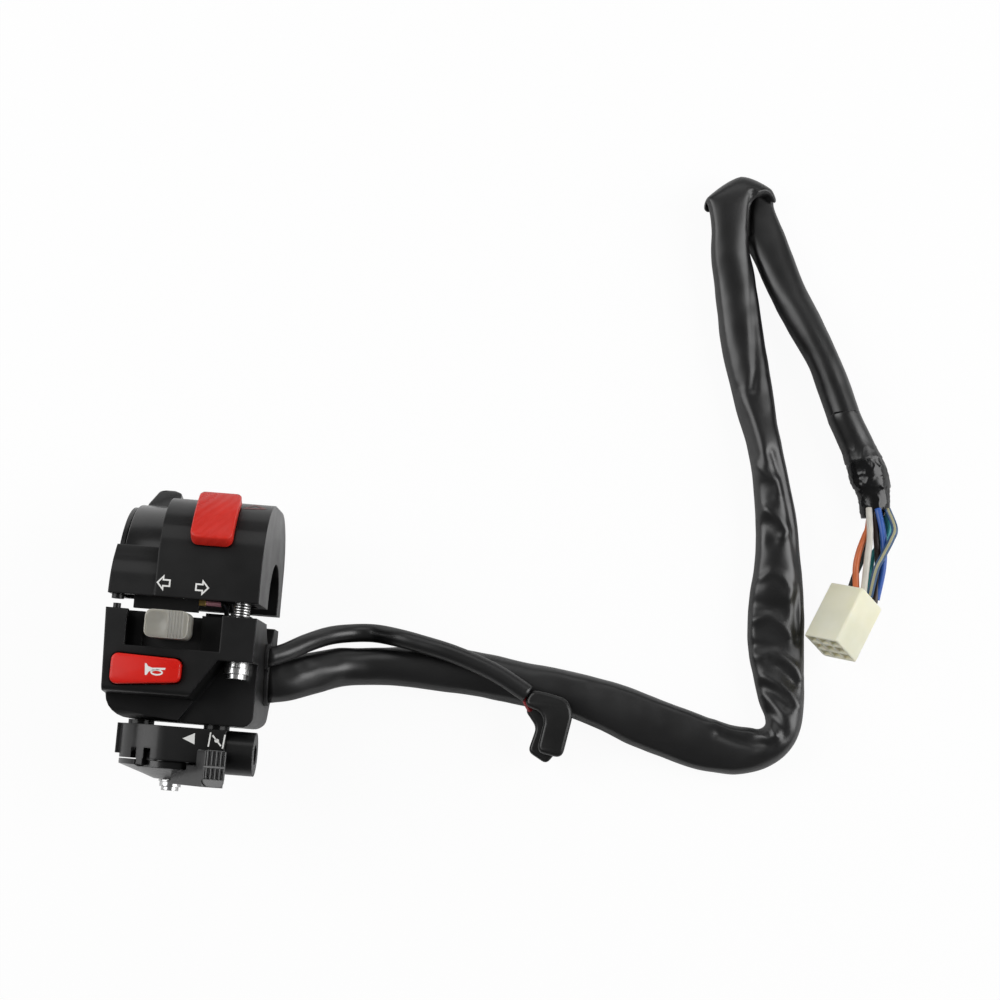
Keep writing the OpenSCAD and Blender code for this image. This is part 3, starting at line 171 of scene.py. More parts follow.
def surface(name, low, high, rough, grain_mm=0.3, grain=0.1, patch_mm=9, bevel_mm=0.0, metal=0.0, edge=None,
            subsurface=0.0, gloss=0.5, coat=0.0, height_of=None, recess_shade_mm=0.0):
    """Moulded or metal surface with fine grain, whose colour and roughness drift.

    Where asked for, its edges are softened and lightened as a painted highlight, and its recesses get painted
    shade as less gloss.
    """
    mat, tree, shader = new_material(name)
    patch = noise_node(tree, patch_mm, PATCH_DETAIL)
    color = colors_between(tree, patch, low, high)
    tree.links.new(values_between(tree, patch, *rough), shader.inputs["Roughness"])
    shader.inputs["Metallic"].default_value = metal
    shader.inputs["Specular IOR Level"].default_value = gloss
    shader.inputs["Coat Weight"].default_value = coat
    shader.inputs["Coat Roughness"].default_value = COAT_ROUGHNESS
    # Painted shade in recesses, as gloss taken away where other faces stand close
    if recess_shade_mm:
        paint_recess_shade(tree, shader, gloss, recess_shade_mm)
    if subsurface:
        shader.inputs["Subsurface Weight"].default_value = subsurface
        shader.inputs["Subsurface Radius"].default_value = SCATTER_M
        shader.inputs["Subsurface Scale"].default_value = 1
    bump = tree.nodes.new("ShaderNodeBump")
    bump.inputs["Strength"].default_value = grain
    bump.inputs["Distance"].default_value = GRAIN_DEPTH * MM
    height = noise_node(tree, grain_mm, GRAIN_DETAIL)
    tree.links.new(height_of(tree, height) if height_of else height, bump.inputs["Height"])
    if bevel_mm:
        soft = tree.nodes.new("ShaderNodeBevel")
        soft.samples = SHADER_SAMPLES
        soft.inputs["Radius"].default_value = bevel_mm * MM
        tree.links.new(soft.outputs[0], bump.inputs["Normal"])
        # Painted highlight: the edge colour lightens the rounded edges
        if edge:
            color = painted_edge_highlight(tree, color, soft.outputs[0], edge)
    tree.links.new(color, shader.inputs["Base Color"])
    tree.links.new(bump.outputs[0], shader.inputs["Normal"])
    return mat


SCORE_ANGLE = -48
SCORE_SCALE = 160
SCORE_DISTORTION = 1.5


def diagonal_scores(tree, grain):
    """Fine slanted scores over the grain, as on a moulded slider."""
    coords = tree.nodes.new("ShaderNodeTexCoord")
    mapping = tree.nodes.new("ShaderNodeMapping")
    mapping.inputs["Rotation"].default_value = (0, 0, math.radians(SCORE_ANGLE))
    wave = tree.nodes.new("ShaderNodeTexWave")
    wave.bands_direction = "Y"
    wave.inputs["Scale"].default_value = SCORE_SCALE
    wave.inputs["Distortion"].default_value = SCORE_DISTORTION
    total = tree.nodes.new("ShaderNodeMath")
    total.operation = "ADD"
    tree.links.new(coords.outputs["Object"], mapping.inputs[0])
    tree.links.new(mapping.outputs[0], wave.inputs[0])
    tree.links.new(wave.outputs["Fac"], total.inputs[0])
    tree.links.new(grain, total.inputs[1])
    return total.outputs[0]


# Materials: two colours and two values of roughness to drift between, then what sets each one apart
# Edge colours are painted highlights on the rounded edges.
# The housing's recess reach paints shade into its recesses, as less gloss there.
BLACK = surface("housing_black", (0.0022, 0.0022, 0.0023), (0.004, 0.004, 0.0042), (0.36, 0.46),
                grain_mm=0.16, grain=0.12, bevel_mm=0.6, edge=(0.008, 0.008, 0.0085), gloss=0.34, coat=0.3,
                recess_shade_mm=8)
LEVER = surface("lever_black", (0.002, 0.002, 0.0022), (0.0035, 0.0035, 0.0038), (0.26, 0.35), grain_mm=0.2,
                grain=0.06, bevel_mm=0.4, edge=(0.007, 0.007, 0.0075), gloss=0.4, coat=0.4)
INNER = surface("inner_black", (0.0025, 0.0025, 0.0025), (0.005, 0.005, 0.005), (0.5, 0.65), bevel_mm=0.3)
RED = surface("red_plastic", (0.62, 0.010, 0.005), (0.70, 0.014, 0.008), (0.24, 0.34), grain_mm=0.25,
              grain=0.04, bevel_mm=0.6, edge=(0.78, 0.04, 0.02), subsurface=0.08, gloss=0.32)
SCORED_RED = surface("scored_red", (0.58, 0.018, 0.010), (0.66, 0.024, 0.014), (0.26, 0.36), grain_mm=0.25,
                     grain=0.6, bevel_mm=0.6, edge=(0.80, 0.04, 0.02), subsurface=0.08, gloss=0.4,
                     height_of=diagonal_scores)
GREY = surface("grey_knob", (0.26, 0.25, 0.22), (0.36, 0.35, 0.31), (0.30, 0.42), grain_mm=0.25, grain=0.06,
               bevel_mm=0.5, edge=(0.5, 0.49, 0.45), subsurface=0.7)
STEEL = surface("steel", (0.60, 0.60, 0.60), (0.76, 0.76, 0.75), (0.22, 0.34), bevel_mm=0.3, metal=1)
DARK_STEEL = surface("dark_steel", (0.11, 0.11, 0.11), (0.20, 0.20, 0.19), (0.3, 0.42), metal=1)
BRASS = surface("brass", (0.55, 0.36, 0.11), (0.72, 0.50, 0.18), (0.2, 0.35), bevel_mm=0.15, metal=1)
BOARD = surface("board_brown", (0.10, 0.045, 0.02), (0.17, 0.08, 0.035), (0.45, 0.6), grain_mm=0.4)
RUBBER = surface("grommet_rubber", (0.006, 0.006, 0.006), (0.011, 0.011, 0.011), (0.42, 0.55), bevel_mm=0.4)
NYLON = surface("plug_nylon", (0.80, 0.78, 0.58), (0.87, 0.85, 0.68), (0.34, 0.46), grain_mm=0.5, grain=0.06,
                bevel_mm=0.5, edge=(0.93, 0.91, 0.78), subsurface=0.6)
WHITE_INK = surface("white_ink", (0.74, 0.74, 0.72), (0.86, 0.86, 0.84), (0.4, 0.5), grain_mm=0.2, grain=0.05)
RED_INK = surface("red_ink", (0.12, 0.035, 0.035), (0.18, 0.06, 0.055), (0.4, 0.5), grain_mm=0.2, grain=0.05)
SLEEVE = surface("sleeve_vinyl", (0.003, 0.003, 0.0032), (0.005, 0.005, 0.0053), (0.32, 0.42), grain_mm=1.6,
                 grain=0.08, patch_mm=14, gloss=0.7)
TAPE = surface("tape_black", (0.0025, 0.0025, 0.0028), (0.0045, 0.0045, 0.005), (0.18, 0.28), grain_mm=1.2,
               grain=0.10, patch_mm=6)
BOOT = surface("boot_vinyl", (0.0045, 0.0045, 0.0045), (0.0075, 0.0075, 0.0075), (0.28, 0.38), grain_mm=0.6,
               grain=0.08)

BY_SLOT = {
    "housing_black": BLACK, "lever_black": LEVER, "inner_black": INNER, "red_plastic": RED, "grey_knob": GREY,
    "steel": STEEL, "spring_steel": STEEL, "brass": BRASS, "board_brown": BOARD, "grommet_rubber": RUBBER,
    "plug_nylon": NYLON, "sleeve_vinyl": BOOT,
}


def dress(node, material):
    data = nodes[node].data
    data.materials.clear()
    data.materials.append(material)


for part in frame["record"]["subparts"]:
    if part["material_slot"] in BY_SLOT:
        dress(part["node"], BY_SLOT[part["material_slot"]])
dress("hazard_knob", SCORED_RED)

# Edges of the CAD pieces, with angles in degrees
SMOOTH_ANGLE = 28
WELD_GAP = 0.03
MERGE_ANGLE = 1
BEVEL_ANGLE = 35
BEVEL_SEGMENTS = 3
# Bevel of each softened piece, or 0 where only its roundings are smoothed
EDGE_RADII = {
    "upper_housing": 0, "lower_housing": 0, "choke_holder": 0, "choke_lever": 0, "dimmer_lever": 0.4,
    "hazard_knob": 0.5, "horn_button": 0.5, "turn_knob": 0.1, "plug_housing": 0.3,
}


def smooth_by_angle():
    """Geometry nodes that shade a mesh smooth except across its sharp edges."""
    group = bpy.data.node_groups.new("smooth_by_angle", "GeometryNodeTree")
    group.interface.new_socket("Geometry", in_out="INPUT", socket_type="NodeSocketGeometry")
    group.interface.new_socket("Geometry", in_out="OUTPUT", socket_type="NodeSocketGeometry")
    start = group.nodes.new("NodeGroupInput")
    end = group.nodes.new("NodeGroupOutput")
    plain = group.nodes.new("GeometryNodeRemoveAttribute")
    plain.inputs["Name"].default_value = "custom_normal"
    faces = group.nodes.new("GeometryNodeSetShadeSmooth")
    angle = group.nodes.new("GeometryNodeInputMeshEdgeAngle")
    sharp = group.nodes.new("FunctionNodeCompare")
    sharp.inputs["B"].default_value = math.radians(SMOOTH_ANGLE)
    edges = group.nodes.new("GeometryNodeSetShadeSmooth")
    edges.domain = "EDGE"
    edges.inputs["Shade Smooth"].default_value = False
    group.links.new(start.outputs[0], plain.inputs["Geometry"])
    group.links.new(plain.outputs[0], faces.inputs["Geometry"])
    group.links.new(faces.outputs[0], edges.inputs["Geometry"])
    group.links.new(angle.outputs["Unsigned Angle"], sharp.inputs["A"])
    group.links.new(sharp.outputs[0], edges.inputs["Selection"])
    group.links.new(edges.outputs[0], end.inputs[0])
    return group


def soften(node, radius_mm, smoothing):
    """Smooths the roundings of a CAD piece, and bevels its edges if a radius is given."""
    obj = nodes[node]
    weld = obj.modifiers.new("weld", "WELD")
    weld.merge_threshold = WELD_GAP * MM
    if radius_mm:
        merge = obj.modifiers.new("merge", "DECIMATE")
        merge.decimate_type = "DISSOLVE"
        merge.angle_limit = math.radians(MERGE_ANGLE)
        bevel = obj.modifiers.new("bevel", "BEVEL")
        bevel.width = radius_mm * MM
        bevel.segments = BEVEL_SEGMENTS
        bevel.limit_method = "ANGLE"
        bevel.angle_limit = math.radians(BEVEL_ANGLE)
        bevel.use_clamp_overlap = False
    smooth = obj.modifiers.new("smooth", "NODES")
    smooth.node_group = smoothing


smoothing_nodes = smooth_by_angle()
for node, radius in EDGE_RADII.items():
    soften(node, radius, smoothing_nodes)

# Meshes: corners of a wall's face, of which the end of a tube has more
QUAD = 4
# Length below which a tube's first side vector is too short to use
LEAST_SIDE = 0.1


def mesh_object(name, verts, faces, materials, smooth=True, material_of=None):
    """New piece from points in millimetres, smooth except on the end of a tube."""
    data = bpy.data.meshes.new(name)
    data.from_pydata([Vector(v) * MM for v in verts], [], faces)
    data.update()
    for material in materials:
        data.materials.append(material)
    for polygon in data.polygons:
        polygon.use_smooth = smooth and polygon.loop_total <= QUAD
        if material_of:
            polygon.material_index = material_of(polygon.index)
    obj = bpy.data.objects.new(name, data)
    scene.collection.objects.link(obj)
    return obj


def enter(piece, body, node=None):
    """Gives a piece its body, and hides the CAD node that it stands for, if one is given."""
    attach(piece, body)
    if node:
        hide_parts(node)
    return piece


def spline(rows, step, pull=0.5):
    """Rows on a smooth curve through the given ones, about a step apart in space."""
    rows = [Vector(row) for row in rows]
    rows = [rows[0] * 2 - rows[1]] + rows + [rows[-1] * 2 - rows[-2]]
    out = []
    for i in range(1, len(rows) - 2):
        a, b = rows[i], rows[i + 1]
        ta, tb = (b - rows[i - 1]) * pull, (rows[i + 2] - a) * pull
        count = max(2, round((Vector(b[:3]) - Vector(a[:3])).length / step))
        for k in range(count):
            t = k / count
            out.append(a * (2 * t**3 - 3 * t**2 + 1) + ta * (t**3 - 2 * t**2 + t)
                       + b * (3 * t**2 - 2 * t**3) + tb * (t**3 - t**2))
    return out + [rows[-2]]


def arc_lengths(path):
    """Length along a path up to each of its points."""
    out = [0.0]
    for a, b in zip(path, path[1:]):
        out.append(out[-1] + (Vector(b[:3]) - Vector(a[:3])).length)
    return out


def tangent(path, i):
    return (path[min(i + 1, len(path) - 1)] - path[max(i - 1, 0)]).normalized()


def tube_faces(rings, sides):
    """Quads between rings of points, and the two ends."""
    faces = []
    for i in range(rings - 1):
        for k in range(sides):
            a, b = i * sides + k, i * sides + (k + 1) % sides
            faces.append((a, b, b + sides, a + sides))
    return faces + [tuple(reversed(range(sides))), tuple(range((rings - 1) * sides, rings * sides))]


def round_tube(path, radius, sides):
    """Points and faces of a round tube, with a frame that doesn't twist."""
    verts = []
    side = tangent(path, 0).cross(Vector((0, 0, 1)))
    if side.length < LEAST_SIDE:
        side = Vector((1, 0, 0))
    for i, p in enumerate(path):
        t = tangent(path, i)
        side = (side - t * side.dot(t)).normalized()
        up = t.cross(side)
        for k in range(sides):
            a = 2 * math.pi * k / sides
            verts.append(p + (side * math.cos(a) + up * math.sin(a)) * radius)
    return verts, tube_faces(len(path), sides)


# Harness sleeve: place, lift off the table and how far it is pressed wide, as in the part's source
HALF_W = 6.0
HALF_H = 4.8
PRESS_RISE = 0.5
TABLE_GAP = 0.1
OUTLET = Vector((20.5, -20, -2.5))
OUTLET_LIFT = OUTLET.z - FLOOR_Z - TABLE_GAP - HALF_H
SLEEVE_TO_FOLD = [
    (20.5, -20, OUTLET_LIFT, 0), (25, -19.2, OUTLET_LIFT - 0.7, 0), (31, -17.2, 6.9, -0.3),
    (38, -14.8, 2.6, -0.8), (45, -13.8, 0.4, -1), (54, -13, 0, -0.6), (66, -12.9, 0, 0), (77, -13.6, 0, 0),
    (88, -15, 0, -0.2), (99, -16.4, 0, 0), (110, -18.8, 0, 0.7), (121, -22.2, 0, 1.2), (130, -25, 0, 1.3),
    (138, -27.3, 0, 1.3), (146, -28.4, 0, 0.7), (151.8, -28, 0, 0), (156.4, -26.4, 0, -1),
    (159.4, -23, 0, -1.4), (160.2, -18.6, 0, -0.9), (159.2, -12.6, 0, 0.4), (157, 0, 0, 1.6),
    (156.2, 13.5, 0, 1.5), (155.8, 24.4, 0, 0.4), (154.5, 36.2, 0, -0.4), (150.2, 55, 0, -1.4),
    (146.3, 68.8, 0, -0.4), (142, 84.8, 0, 0),
]
SLEEVE_FROM_FOLD = [
    (158.6, 91.8, 0, -1.1), (164.6, 81.4, 0, -1.7), (168.4, 73.2, 0, -1.5), (171.8, 65, 0, -1.7),
]
# Fold at the top, where the flattened sleeve turns over: place, half width and half height
FOLD = [
    (138.6, 102, -12.6, 5.8, 4.2), (136.6, 110, -11.2, 5.4, 3.5), (136, 117, -10, 5.2, 3.0),
    (135.7, 122.5, -9.6, 6.0, 2.8), (137, 126.6, -9.9, 8.2, 2.6), (138.4, 128.8, -11, 9.6, 2.5),
    (138.9, 129.3, -12.6, 10.2, 2.4), (139.4, 128.4, -14.4, 9.6, 2.5), (140.5, 126, -15.4, 8.2, 2.7),
    (142.3, 122.5, -15.6, 6.4, 2.8), (144.8, 118, -15.4, 5.7, 3.0), (148, 112, -14.8, 5.4, 3.5),
    (153.3, 101, -13.8, 5.1, 4.5),
]
FOLD_APEX = 6
FOLD_HALF_W = FOLD[FOLD_APEX][3]
# Direction of the sleeve's width at the fold, in degrees
FOLD_SIDE = 192
# How far the sides of the fold hang back, which way, over what length and how it grows across
FOLD_BOW = 5.2
FOLD_BOW_WAY = Vector((-0.06, -1, 0))
FOLD_REACH = 5.5
FOLD_BOW_POWER = 1.5
# Ridges and dents pressed into the sleeve: height, half width and line seen from above
CREASES = [
    (-0.5, 0.9, [(142.2, 113), (144.7, 89), (145.8, 76.5), (145.4, 71)]),
    (-1.0, 0.7, [(141.6, 127), (141.4, 121), (141.6, 116)]),
    (0.5, 1.6, [(142.4, 68.4), (145.1, 63.7), (148, 57.6), (150.2, 50)]),
    (-0.5, 1.4, [(140.5, 70.4), (144.3, 61), (146.6, 52.6)]),
    (-0.7, 1.0, [(151.8, 53.5), (155, 46.3), (157, 41), (158.8, 34.6), (160.6, 26.4), (161.8, 19),
                 (161.6, 10), (162.4, 2.7)]),
    (0.5, 1.0, [(147, 50.3), (150.4, 47.3), (153.9, 45.8), (154.6, 43)]),
    (-0.6, 1.8, [(149.5, 44.5), (152, 41.5)]),
    (0.5, 1.0, [(151.5, 37.7), (154.8, 35.2), (157.5, 32.2), (156.5, 30.7)]),
    (-0.6, 1.8, [(151.5, 33.5), (153.5, 29.5)]),
    (0.45, 0.9, [(151.3, 18.8), (153.9, 20.8), (157.2, 19.7), (160, 16.2), (159.2, 14)]),
    (0.4, 1.8, [(153.3, 16.6), (157, 16)]),
    (-0.7, 1.6, [(150.5, 11.8), (157.5, 10.6)]),
    (0.5, 0.9, [(150.3, 7.2), (153.8, 8.9), (157.6, 6.9), (160.2, 4)]),
    (-0.4, 1.6, [(152.7, 4.7), (157.4, 2.3)]),
    (-0.6, 1.2, [(150.2, 0.6), (155.2, 0.2)]),
    (0.5, 1.2, [(150.9, -2.8), (154.1, -2.1), (156.7, -3.7)]),
    (0.6, 0.9, [(155.8, -0.6), (159.6, -3), (162.3, -5), (163.8, -7.7)]),
    (-0.7, 1.1, [(155.1, -3.4), (158.9, -5.8), (162.2, -8.7)]),
    (0.6, 0.9, [(154, -8), (157.7, -9.5), (161.1, -12), (163.6, -15.4)]),
    (-0.7, 1.2, [(153.3, -10.8), (156.6, -12.3), (160.4, -15.7)]),
    (0.7, 1.0, [(141.3, -21.6), (145, -23.2), (148.8, -23.6), (152, -23), (156, -25)]),
    (-0.7, 1.3, [(142.9, -24.5), (147.3, -26), (151.7, -26.8), (156.4, -26)]),
    (-0.6, 1.3, [(160.2, -23.6), (159.6, -22), (156.6, -18.5), (153.7, -15.5)]),
    (0.6, 0.8, [(153.2, -16.6), (155.9, -20.2), (157.8, -23.8)]),
    (-0.4, 1.4, [(24.7, -17.2), (27.5, -17), (30.1, -15.8)]),
    (0.4, 1.8, [(28.8, -17), (33.5, -15.8), (37.6, -15.5)]),
    (0.3, 1.5, [(93.4, -11), (99.7, -12), (105.2, -13.2)]),
]
# How much wider creases are than listed, how many half widths they reach and how they fade down the sides
CREASE_SOFTNESS = 1.25
CREASE_REACH = 2.5
CREASE_FADE = 0.6
# Height and size of the uneven places in the skin
SWELLS = [(0.3, 16), (0.12, 5)]
# How soon the flat middle of a pressed tube reaches its round ends
FLAT_STRETCH = 1.5
SLEEVE_SIDES = 72
SLEEVE_STEP = 0.6


def distance_to_line(p, line):
    best = math.inf
    for a, b in zip(line, line[1:]):
        a, d = Vector(a), Vector(b) - Vector(a)
        t = min(1, max(0, (p - a).dot(d) / d.dot(d)))
        best = min(best, (p - a - d * t).length)
    return best


def crease_height(p):
    """Height of all ridges and dents together over one place of the sleeve."""
    flat = Vector((p.x, p.y))
    total = 0
    for height, half_width, line in CREASES:
        width = half_width * CREASE_SOFTNESS
        reach = CREASE_REACH * width
        xs, ys = [q[0] for q in line], [q[1] for q in line]
        if min(xs) - reach < p.x < max(xs) + reach and min(ys) - reach < p.y < max(ys) + reach:
            total += height * math.exp(-(distance_to_line(flat, line) / width) ** 2)
    return total


def lying(row):
    """Place and half sizes of the sleeve where it lies on the table."""
    x, y, lift, spread = row
    half_w, half_h = HALF_W + spread, HALF_H - PRESS_RISE * spread
    return x, y, FLOOR_Z + TABLE_GAP + half_h + lift, half_w, half_h


def section(half_w, half_h, a):
    """Place on the outline of a pressed tube, which is flat in the middle with round ends."""
    small = min(half_w, half_h)
    flat_u = max(-1, min(1, FLAT_STRETCH * math.cos(a)))
    flat_v = max(-1, min(1, FLAT_STRETCH * math.sin(a)))
    return small * math.cos(a) + (half_w - small) * flat_u, small * math.sin(a) + (half_h - small) * flat_v


def heading(rows, i):
    """Direction of a route at a row, in degrees."""
    a, b = rows[max(i - 1, 0)], rows[min(i + 1, len(rows) - 1)]
    return math.degrees(math.atan2(b[1] - a[1], b[0] - a[0]))


def sleeve_rows():
    """Rows of the sleeve with the direction of its width, which keeps on over the fold."""
    before, after = [lying(r) for r in SLEEVE_TO_FOLD], [lying(r) for r in SLEEVE_FROM_FOLD]
    before = [row + (heading(before, i) + 90,) for i, row in enumerate(before)]
    after = [row + (heading(after, i) + 270,) for i, row in enumerate(after)]
    start, end = before[-1][-1], after[0][-1]
    fold = []
    for i, row in enumerate(FOLD):
        to_fold = min(1, (i + 1) / (FOLD_APEX + 1))
        past_fold = max(0, (i - FOLD_APEX) / (len(FOLD) - FOLD_APEX))
        fold.append(row + (start + (FOLD_SIDE - start) * to_fold + (end - FOLD_SIDE) * past_fold,))
    return before + fold + after, len(before) + FOLD_APEX


def swell(p):
    """Slight unevenness of the sleeve's skin."""
    return sum(height * noise.noise(p / size) for height, size in SWELLS)


def back_to_outlet(p, along):
    """Point of a cord's first ring, moved back along the cord to the grommet's face."""
    return p - along * (max(0, p.x - OUTLET.x) / along.x)


def make_sleeve():
    rows, apex = sleeve_rows()
    rings = spline(rows, SLEEVE_STEP)
    path = [Vector(ring[:3]) for ring in rings]
    at = arc_lengths(path)
    apex_at = at[min(range(len(path)), key=lambda i: (path[i] - Vector(rows[apex][:3])).length)]
    verts = []
    for i, (ring, p) in enumerate(zip(rings, path)):
        half_w, half_h, angle = ring[3:]
        t = tangent(path, i)
        side = Vector((math.cos(math.radians(angle)), math.sin(math.radians(angle)), 0))
        up = t.cross(side).normalized()
        bow = FOLD_BOW * math.exp(-((at[i] - apex_at) / FOLD_REACH) ** 2)
        for k in range(SLEEVE_SIDES):
            a = 2 * math.pi * k / SLEEVE_SIDES
            u, v = section(half_w, half_h, a)
            out = (side * (math.cos(a) / half_w) + up * (math.sin(a) / half_h)).normalized()
            q = p + side * u + up * v
            press = crease_height(q) * max(0, out.z) ** CREASE_FADE
            q += out * (swell(q) + press)
            q += FOLD_BOW_WAY * bow * abs(u / FOLD_HALF_W) ** FOLD_BOW_POWER
            q.z = max(q.z, FLOOR_Z + FLOOR_GAP)
            verts.append(back_to_outlet(q, t) if i == 0 else q)
    return mesh_object("harness_sleeve_skin", verts, tube_faces(len(path), SLEEVE_SIDES), [SLEEVE]), path


sleeve, sleeve_path = make_sleeve()
enter(sleeve, "housing", "harness_sleeve")

# Clutch lead
LEAD_R = 2.5
LEAD_LINE = [
    (20.5, -14.2, 4.8), (24.5, -12.4, 2.6), (29.5, -9.2, -2), (35, -6.4, -8), (41, -5, -11.8),
    (47, -4.6, -12), (54, -5.6, -8), (61, -7, -6.8), (68, -8.6, -6), (75, -10.8, -5.7), (82, -13.6, -5.6),
    (90, -18, -5.6),
]
LEAD_SIDES = 32
LEAD_STEP = 0.8
LEAD_SWELL = 0.12
LEAD_SWELL_SIZE = 9


def make_lead():
    path = spline(LEAD_LINE, LEAD_STEP)
    verts, faces = round_tube(path, LEAD_R, LEAD_SIDES)
    verts = [v + Vector((0, 0, LEAD_SWELL * noise.noise(v / LEAD_SWELL_SIZE))) for v in verts]
    verts[:LEAD_SIDES] = [back_to_outlet(v, tangent(path, 0)) for v in verts[:LEAD_SIDES]]
    return mesh_object("clutch_lead_skin", verts, faces, [SLEEVE]), path


lead, lead_path = make_lead()
enter(lead, "housing", "clutch_lead")

# Tape wrap: place, half width and half height
TAPE_LINE = [
    (171.3, 66.2, 4.36, 5.72), (171.8, 65, 4.36, 5.71), (176, 57.4, 4.6, 5.35), (179.2, 50.4, 5.3, 5.05),
    (181.2, 44, 4.5, 4.55), (181.9, 38.5, 4.0, 4.15),
]
TAPE_SIDES = 90
TAPE_STEP = 0.35
# Laps: thickness, where they end along the wrap, how far an end slants and how its rise fades back
TAPE_T = 0.3
LAP_ENDS = [13.8, 21.8]
LAP_SLANT = 0.9
LAP_FADE = 2.5
# Where the wrap starts to be loose, and over what length it becomes so
LOOSE_FROM = 6
LOOSE_OVER = 9
# Thin ridges: height, sharpness, spacing across and along them, each in x and y, and spacing upwards
RIDGE_H = 0.18
RIDGE_SHARPNESS = 7
RIDGE_ACROSS = (2.2, 2.8)
RIDGE_ALONG = (5.0, 4.4)
RIDGE_UP = 3
RIDGE_SHIFT = Vector((9, 4, 1))
# Wide dents: depth and size
DENT_D = 0.5
DENT_SIZE = 6


def past_lap(along, a, end):
    return along - end - LAP_SLANT * math.cos(a)


def lap_height(along, a):
    """Rise of the tape up to the ends of its laps, where it steps down."""
    before = [past_lap(along, a, end) for end in LAP_ENDS if past_lap(along, a, end) < 0]
    return sum(TAPE_T * math.exp(past / LAP_FADE) for past in before)


def crumple(p):
    """Folds pressed into the tape, wide dents and thin slanted ridges."""
    across = p.x / RIDGE_ACROSS[0] + p.y / RIDGE_ACROSS[1]
    along = p.y / RIDGE_ALONG[1] - p.x / RIDGE_ALONG[0]
    slanted = Vector((across, along, p.z / RIDGE_UP)) + RIDGE_SHIFT
    ridge = max(0, 1 - RIDGE_SHARPNESS * abs(noise.noise(slanted)))
    return RIDGE_H * ridge - DENT_D * abs(noise.noise(p / DENT_SIZE))


def make_tape():
    rings = spline([(x, y, FLOOR_Z + TABLE_GAP + h, w, h) for x, y, w, h in TAPE_LINE], TAPE_STEP)
    path = [Vector(ring[:3]) for ring in rings]
    at = arc_lengths(path)
    verts = []
    for i, (ring, p) in enumerate(zip(rings, path)):
        t = tangent(path, i)
        side = Vector((0, 0, 1)).cross(t).normalized()
        up = t.cross(side)
        loose = min(1, max(0, (at[i] - LOOSE_FROM) / LOOSE_OVER))
        for k in range(TAPE_SIDES):
            a = 2 * math.pi * k / TAPE_SIDES
            u, v = section(ring[3], ring[4], a)
            out = side * u + up * v
            tight = swell(p + out) * (1 - loose)
            q = p + out + out.normalized() * (lap_height(at[i], a) + crumple(p + out) * loose + tight)
            q.z = max(q.z, FLOOR_Z + FLOOR_GAP)
            verts.append(q)

    def outer_lap(face):
        """Material of a face: as the sleeve up to the first lap's end, and the tape's own past it."""
        ring, k = divmod(face, TAPE_SIDES)
        return int(past_lap(at[ring], 2 * math.pi * k / TAPE_SIDES, LAP_ENDS[0]) > 0)

    faces = tube_faces(len(path), TAPE_SIDES)
    return mesh_object("tape_wrap_skin", verts, faces, [SLEEVE, TAPE], material_of=outer_lap)


tape = enter(make_tape(), "housing", "tape_wrap")

# Coloured wires
WIRE_SIDES = 16
WIRE_STEP = 0.5
STRIPE_FACES = (11, 12)
DARK_SHARE = 0.85
PLUG_WIRE_R = 0.9
INNER_WIRE_R = 0.65
INNER_WIRE_PULL = 0.15
BOOT_WIRE_R = 0.8
BLACK_SKIN = (0.012, 0.012, 0.012)
# Wires to the plug: name, colour, stripe and route
PLUG_WIRES = [
    ("wire_orange", (0.66, 0.16, 0.05), None,
     [(180.2, 40, -12), (179.5, 34.8, -9.6), (178.7, 32.5, -9), (177.3, 28, -8.5), (176.7, 23.5, -8.5),
      (177.3, 17.5, -9.5)]),
    ("wire_white", (0.66, 0.63, 0.56), None,
     [(179.6, 40.5, -10.6), (179.9, 32.5, -7.8), (179.5, 25.9, -7.4), (179.2, 16.5, -8.6)]),
    ("wire_brown", (0.035, 0.022, 0.018), None,
     [(181.4, 40, -11), (182.1, 31.9, -10), (182.8, 26.4, -10), (183, 21, -10.4), (182.6, 14.5, -10.6)]),
    ("wire_blue", (0.035, 0.12, 0.46), None,
     [(181.9, 40.5, -9.8), (183.4, 34.6, -9), (184.1, 29.7, -9), (184.2, 23.6, -9.6), (183.2, 15.5, -11)]),
    ("wire_teal", (0.03, 0.30, 0.32), None,
     [(184.2, 40.5, -12), (185.3, 36.1, -11), (184.7, 32.7, -11), (182.8, 29.8, -11.4), (181.3, 26.4, -11.6),
      (180.8, 16, -12)]),
    ("wire_striped", (0.03, 0.085, 0.19), (0.42, 0.40, 0.24),
     [(184.6, 40.5, -10), (186.5, 35.2, -7.8), (185.7, 31.9, -7.4), (183.7, 27.3, -7.4), (182.1, 23.3, -7.6),
      (181, 16, -9)]),
    ("wire_cyan", (0.32, 0.70, 0.74), None,
     [(182.9, 40.5, -11.5), (184, 35.4, -12.6), (182.7, 29.7, -13), (181.5, 26.3, -13), (181.2, 23, -13),
      (180.6, 15.5, -13.2)]),
    ("wire_black", (0.012, 0.011, 0.011), None,
     [(180.4, 40, -13.4), (179.8, 31.9, -13.8), (178.7, 26.2, -13.6), (177.3, 22.3, -12.8),
      (175.9, 17.4, -12)]),
]
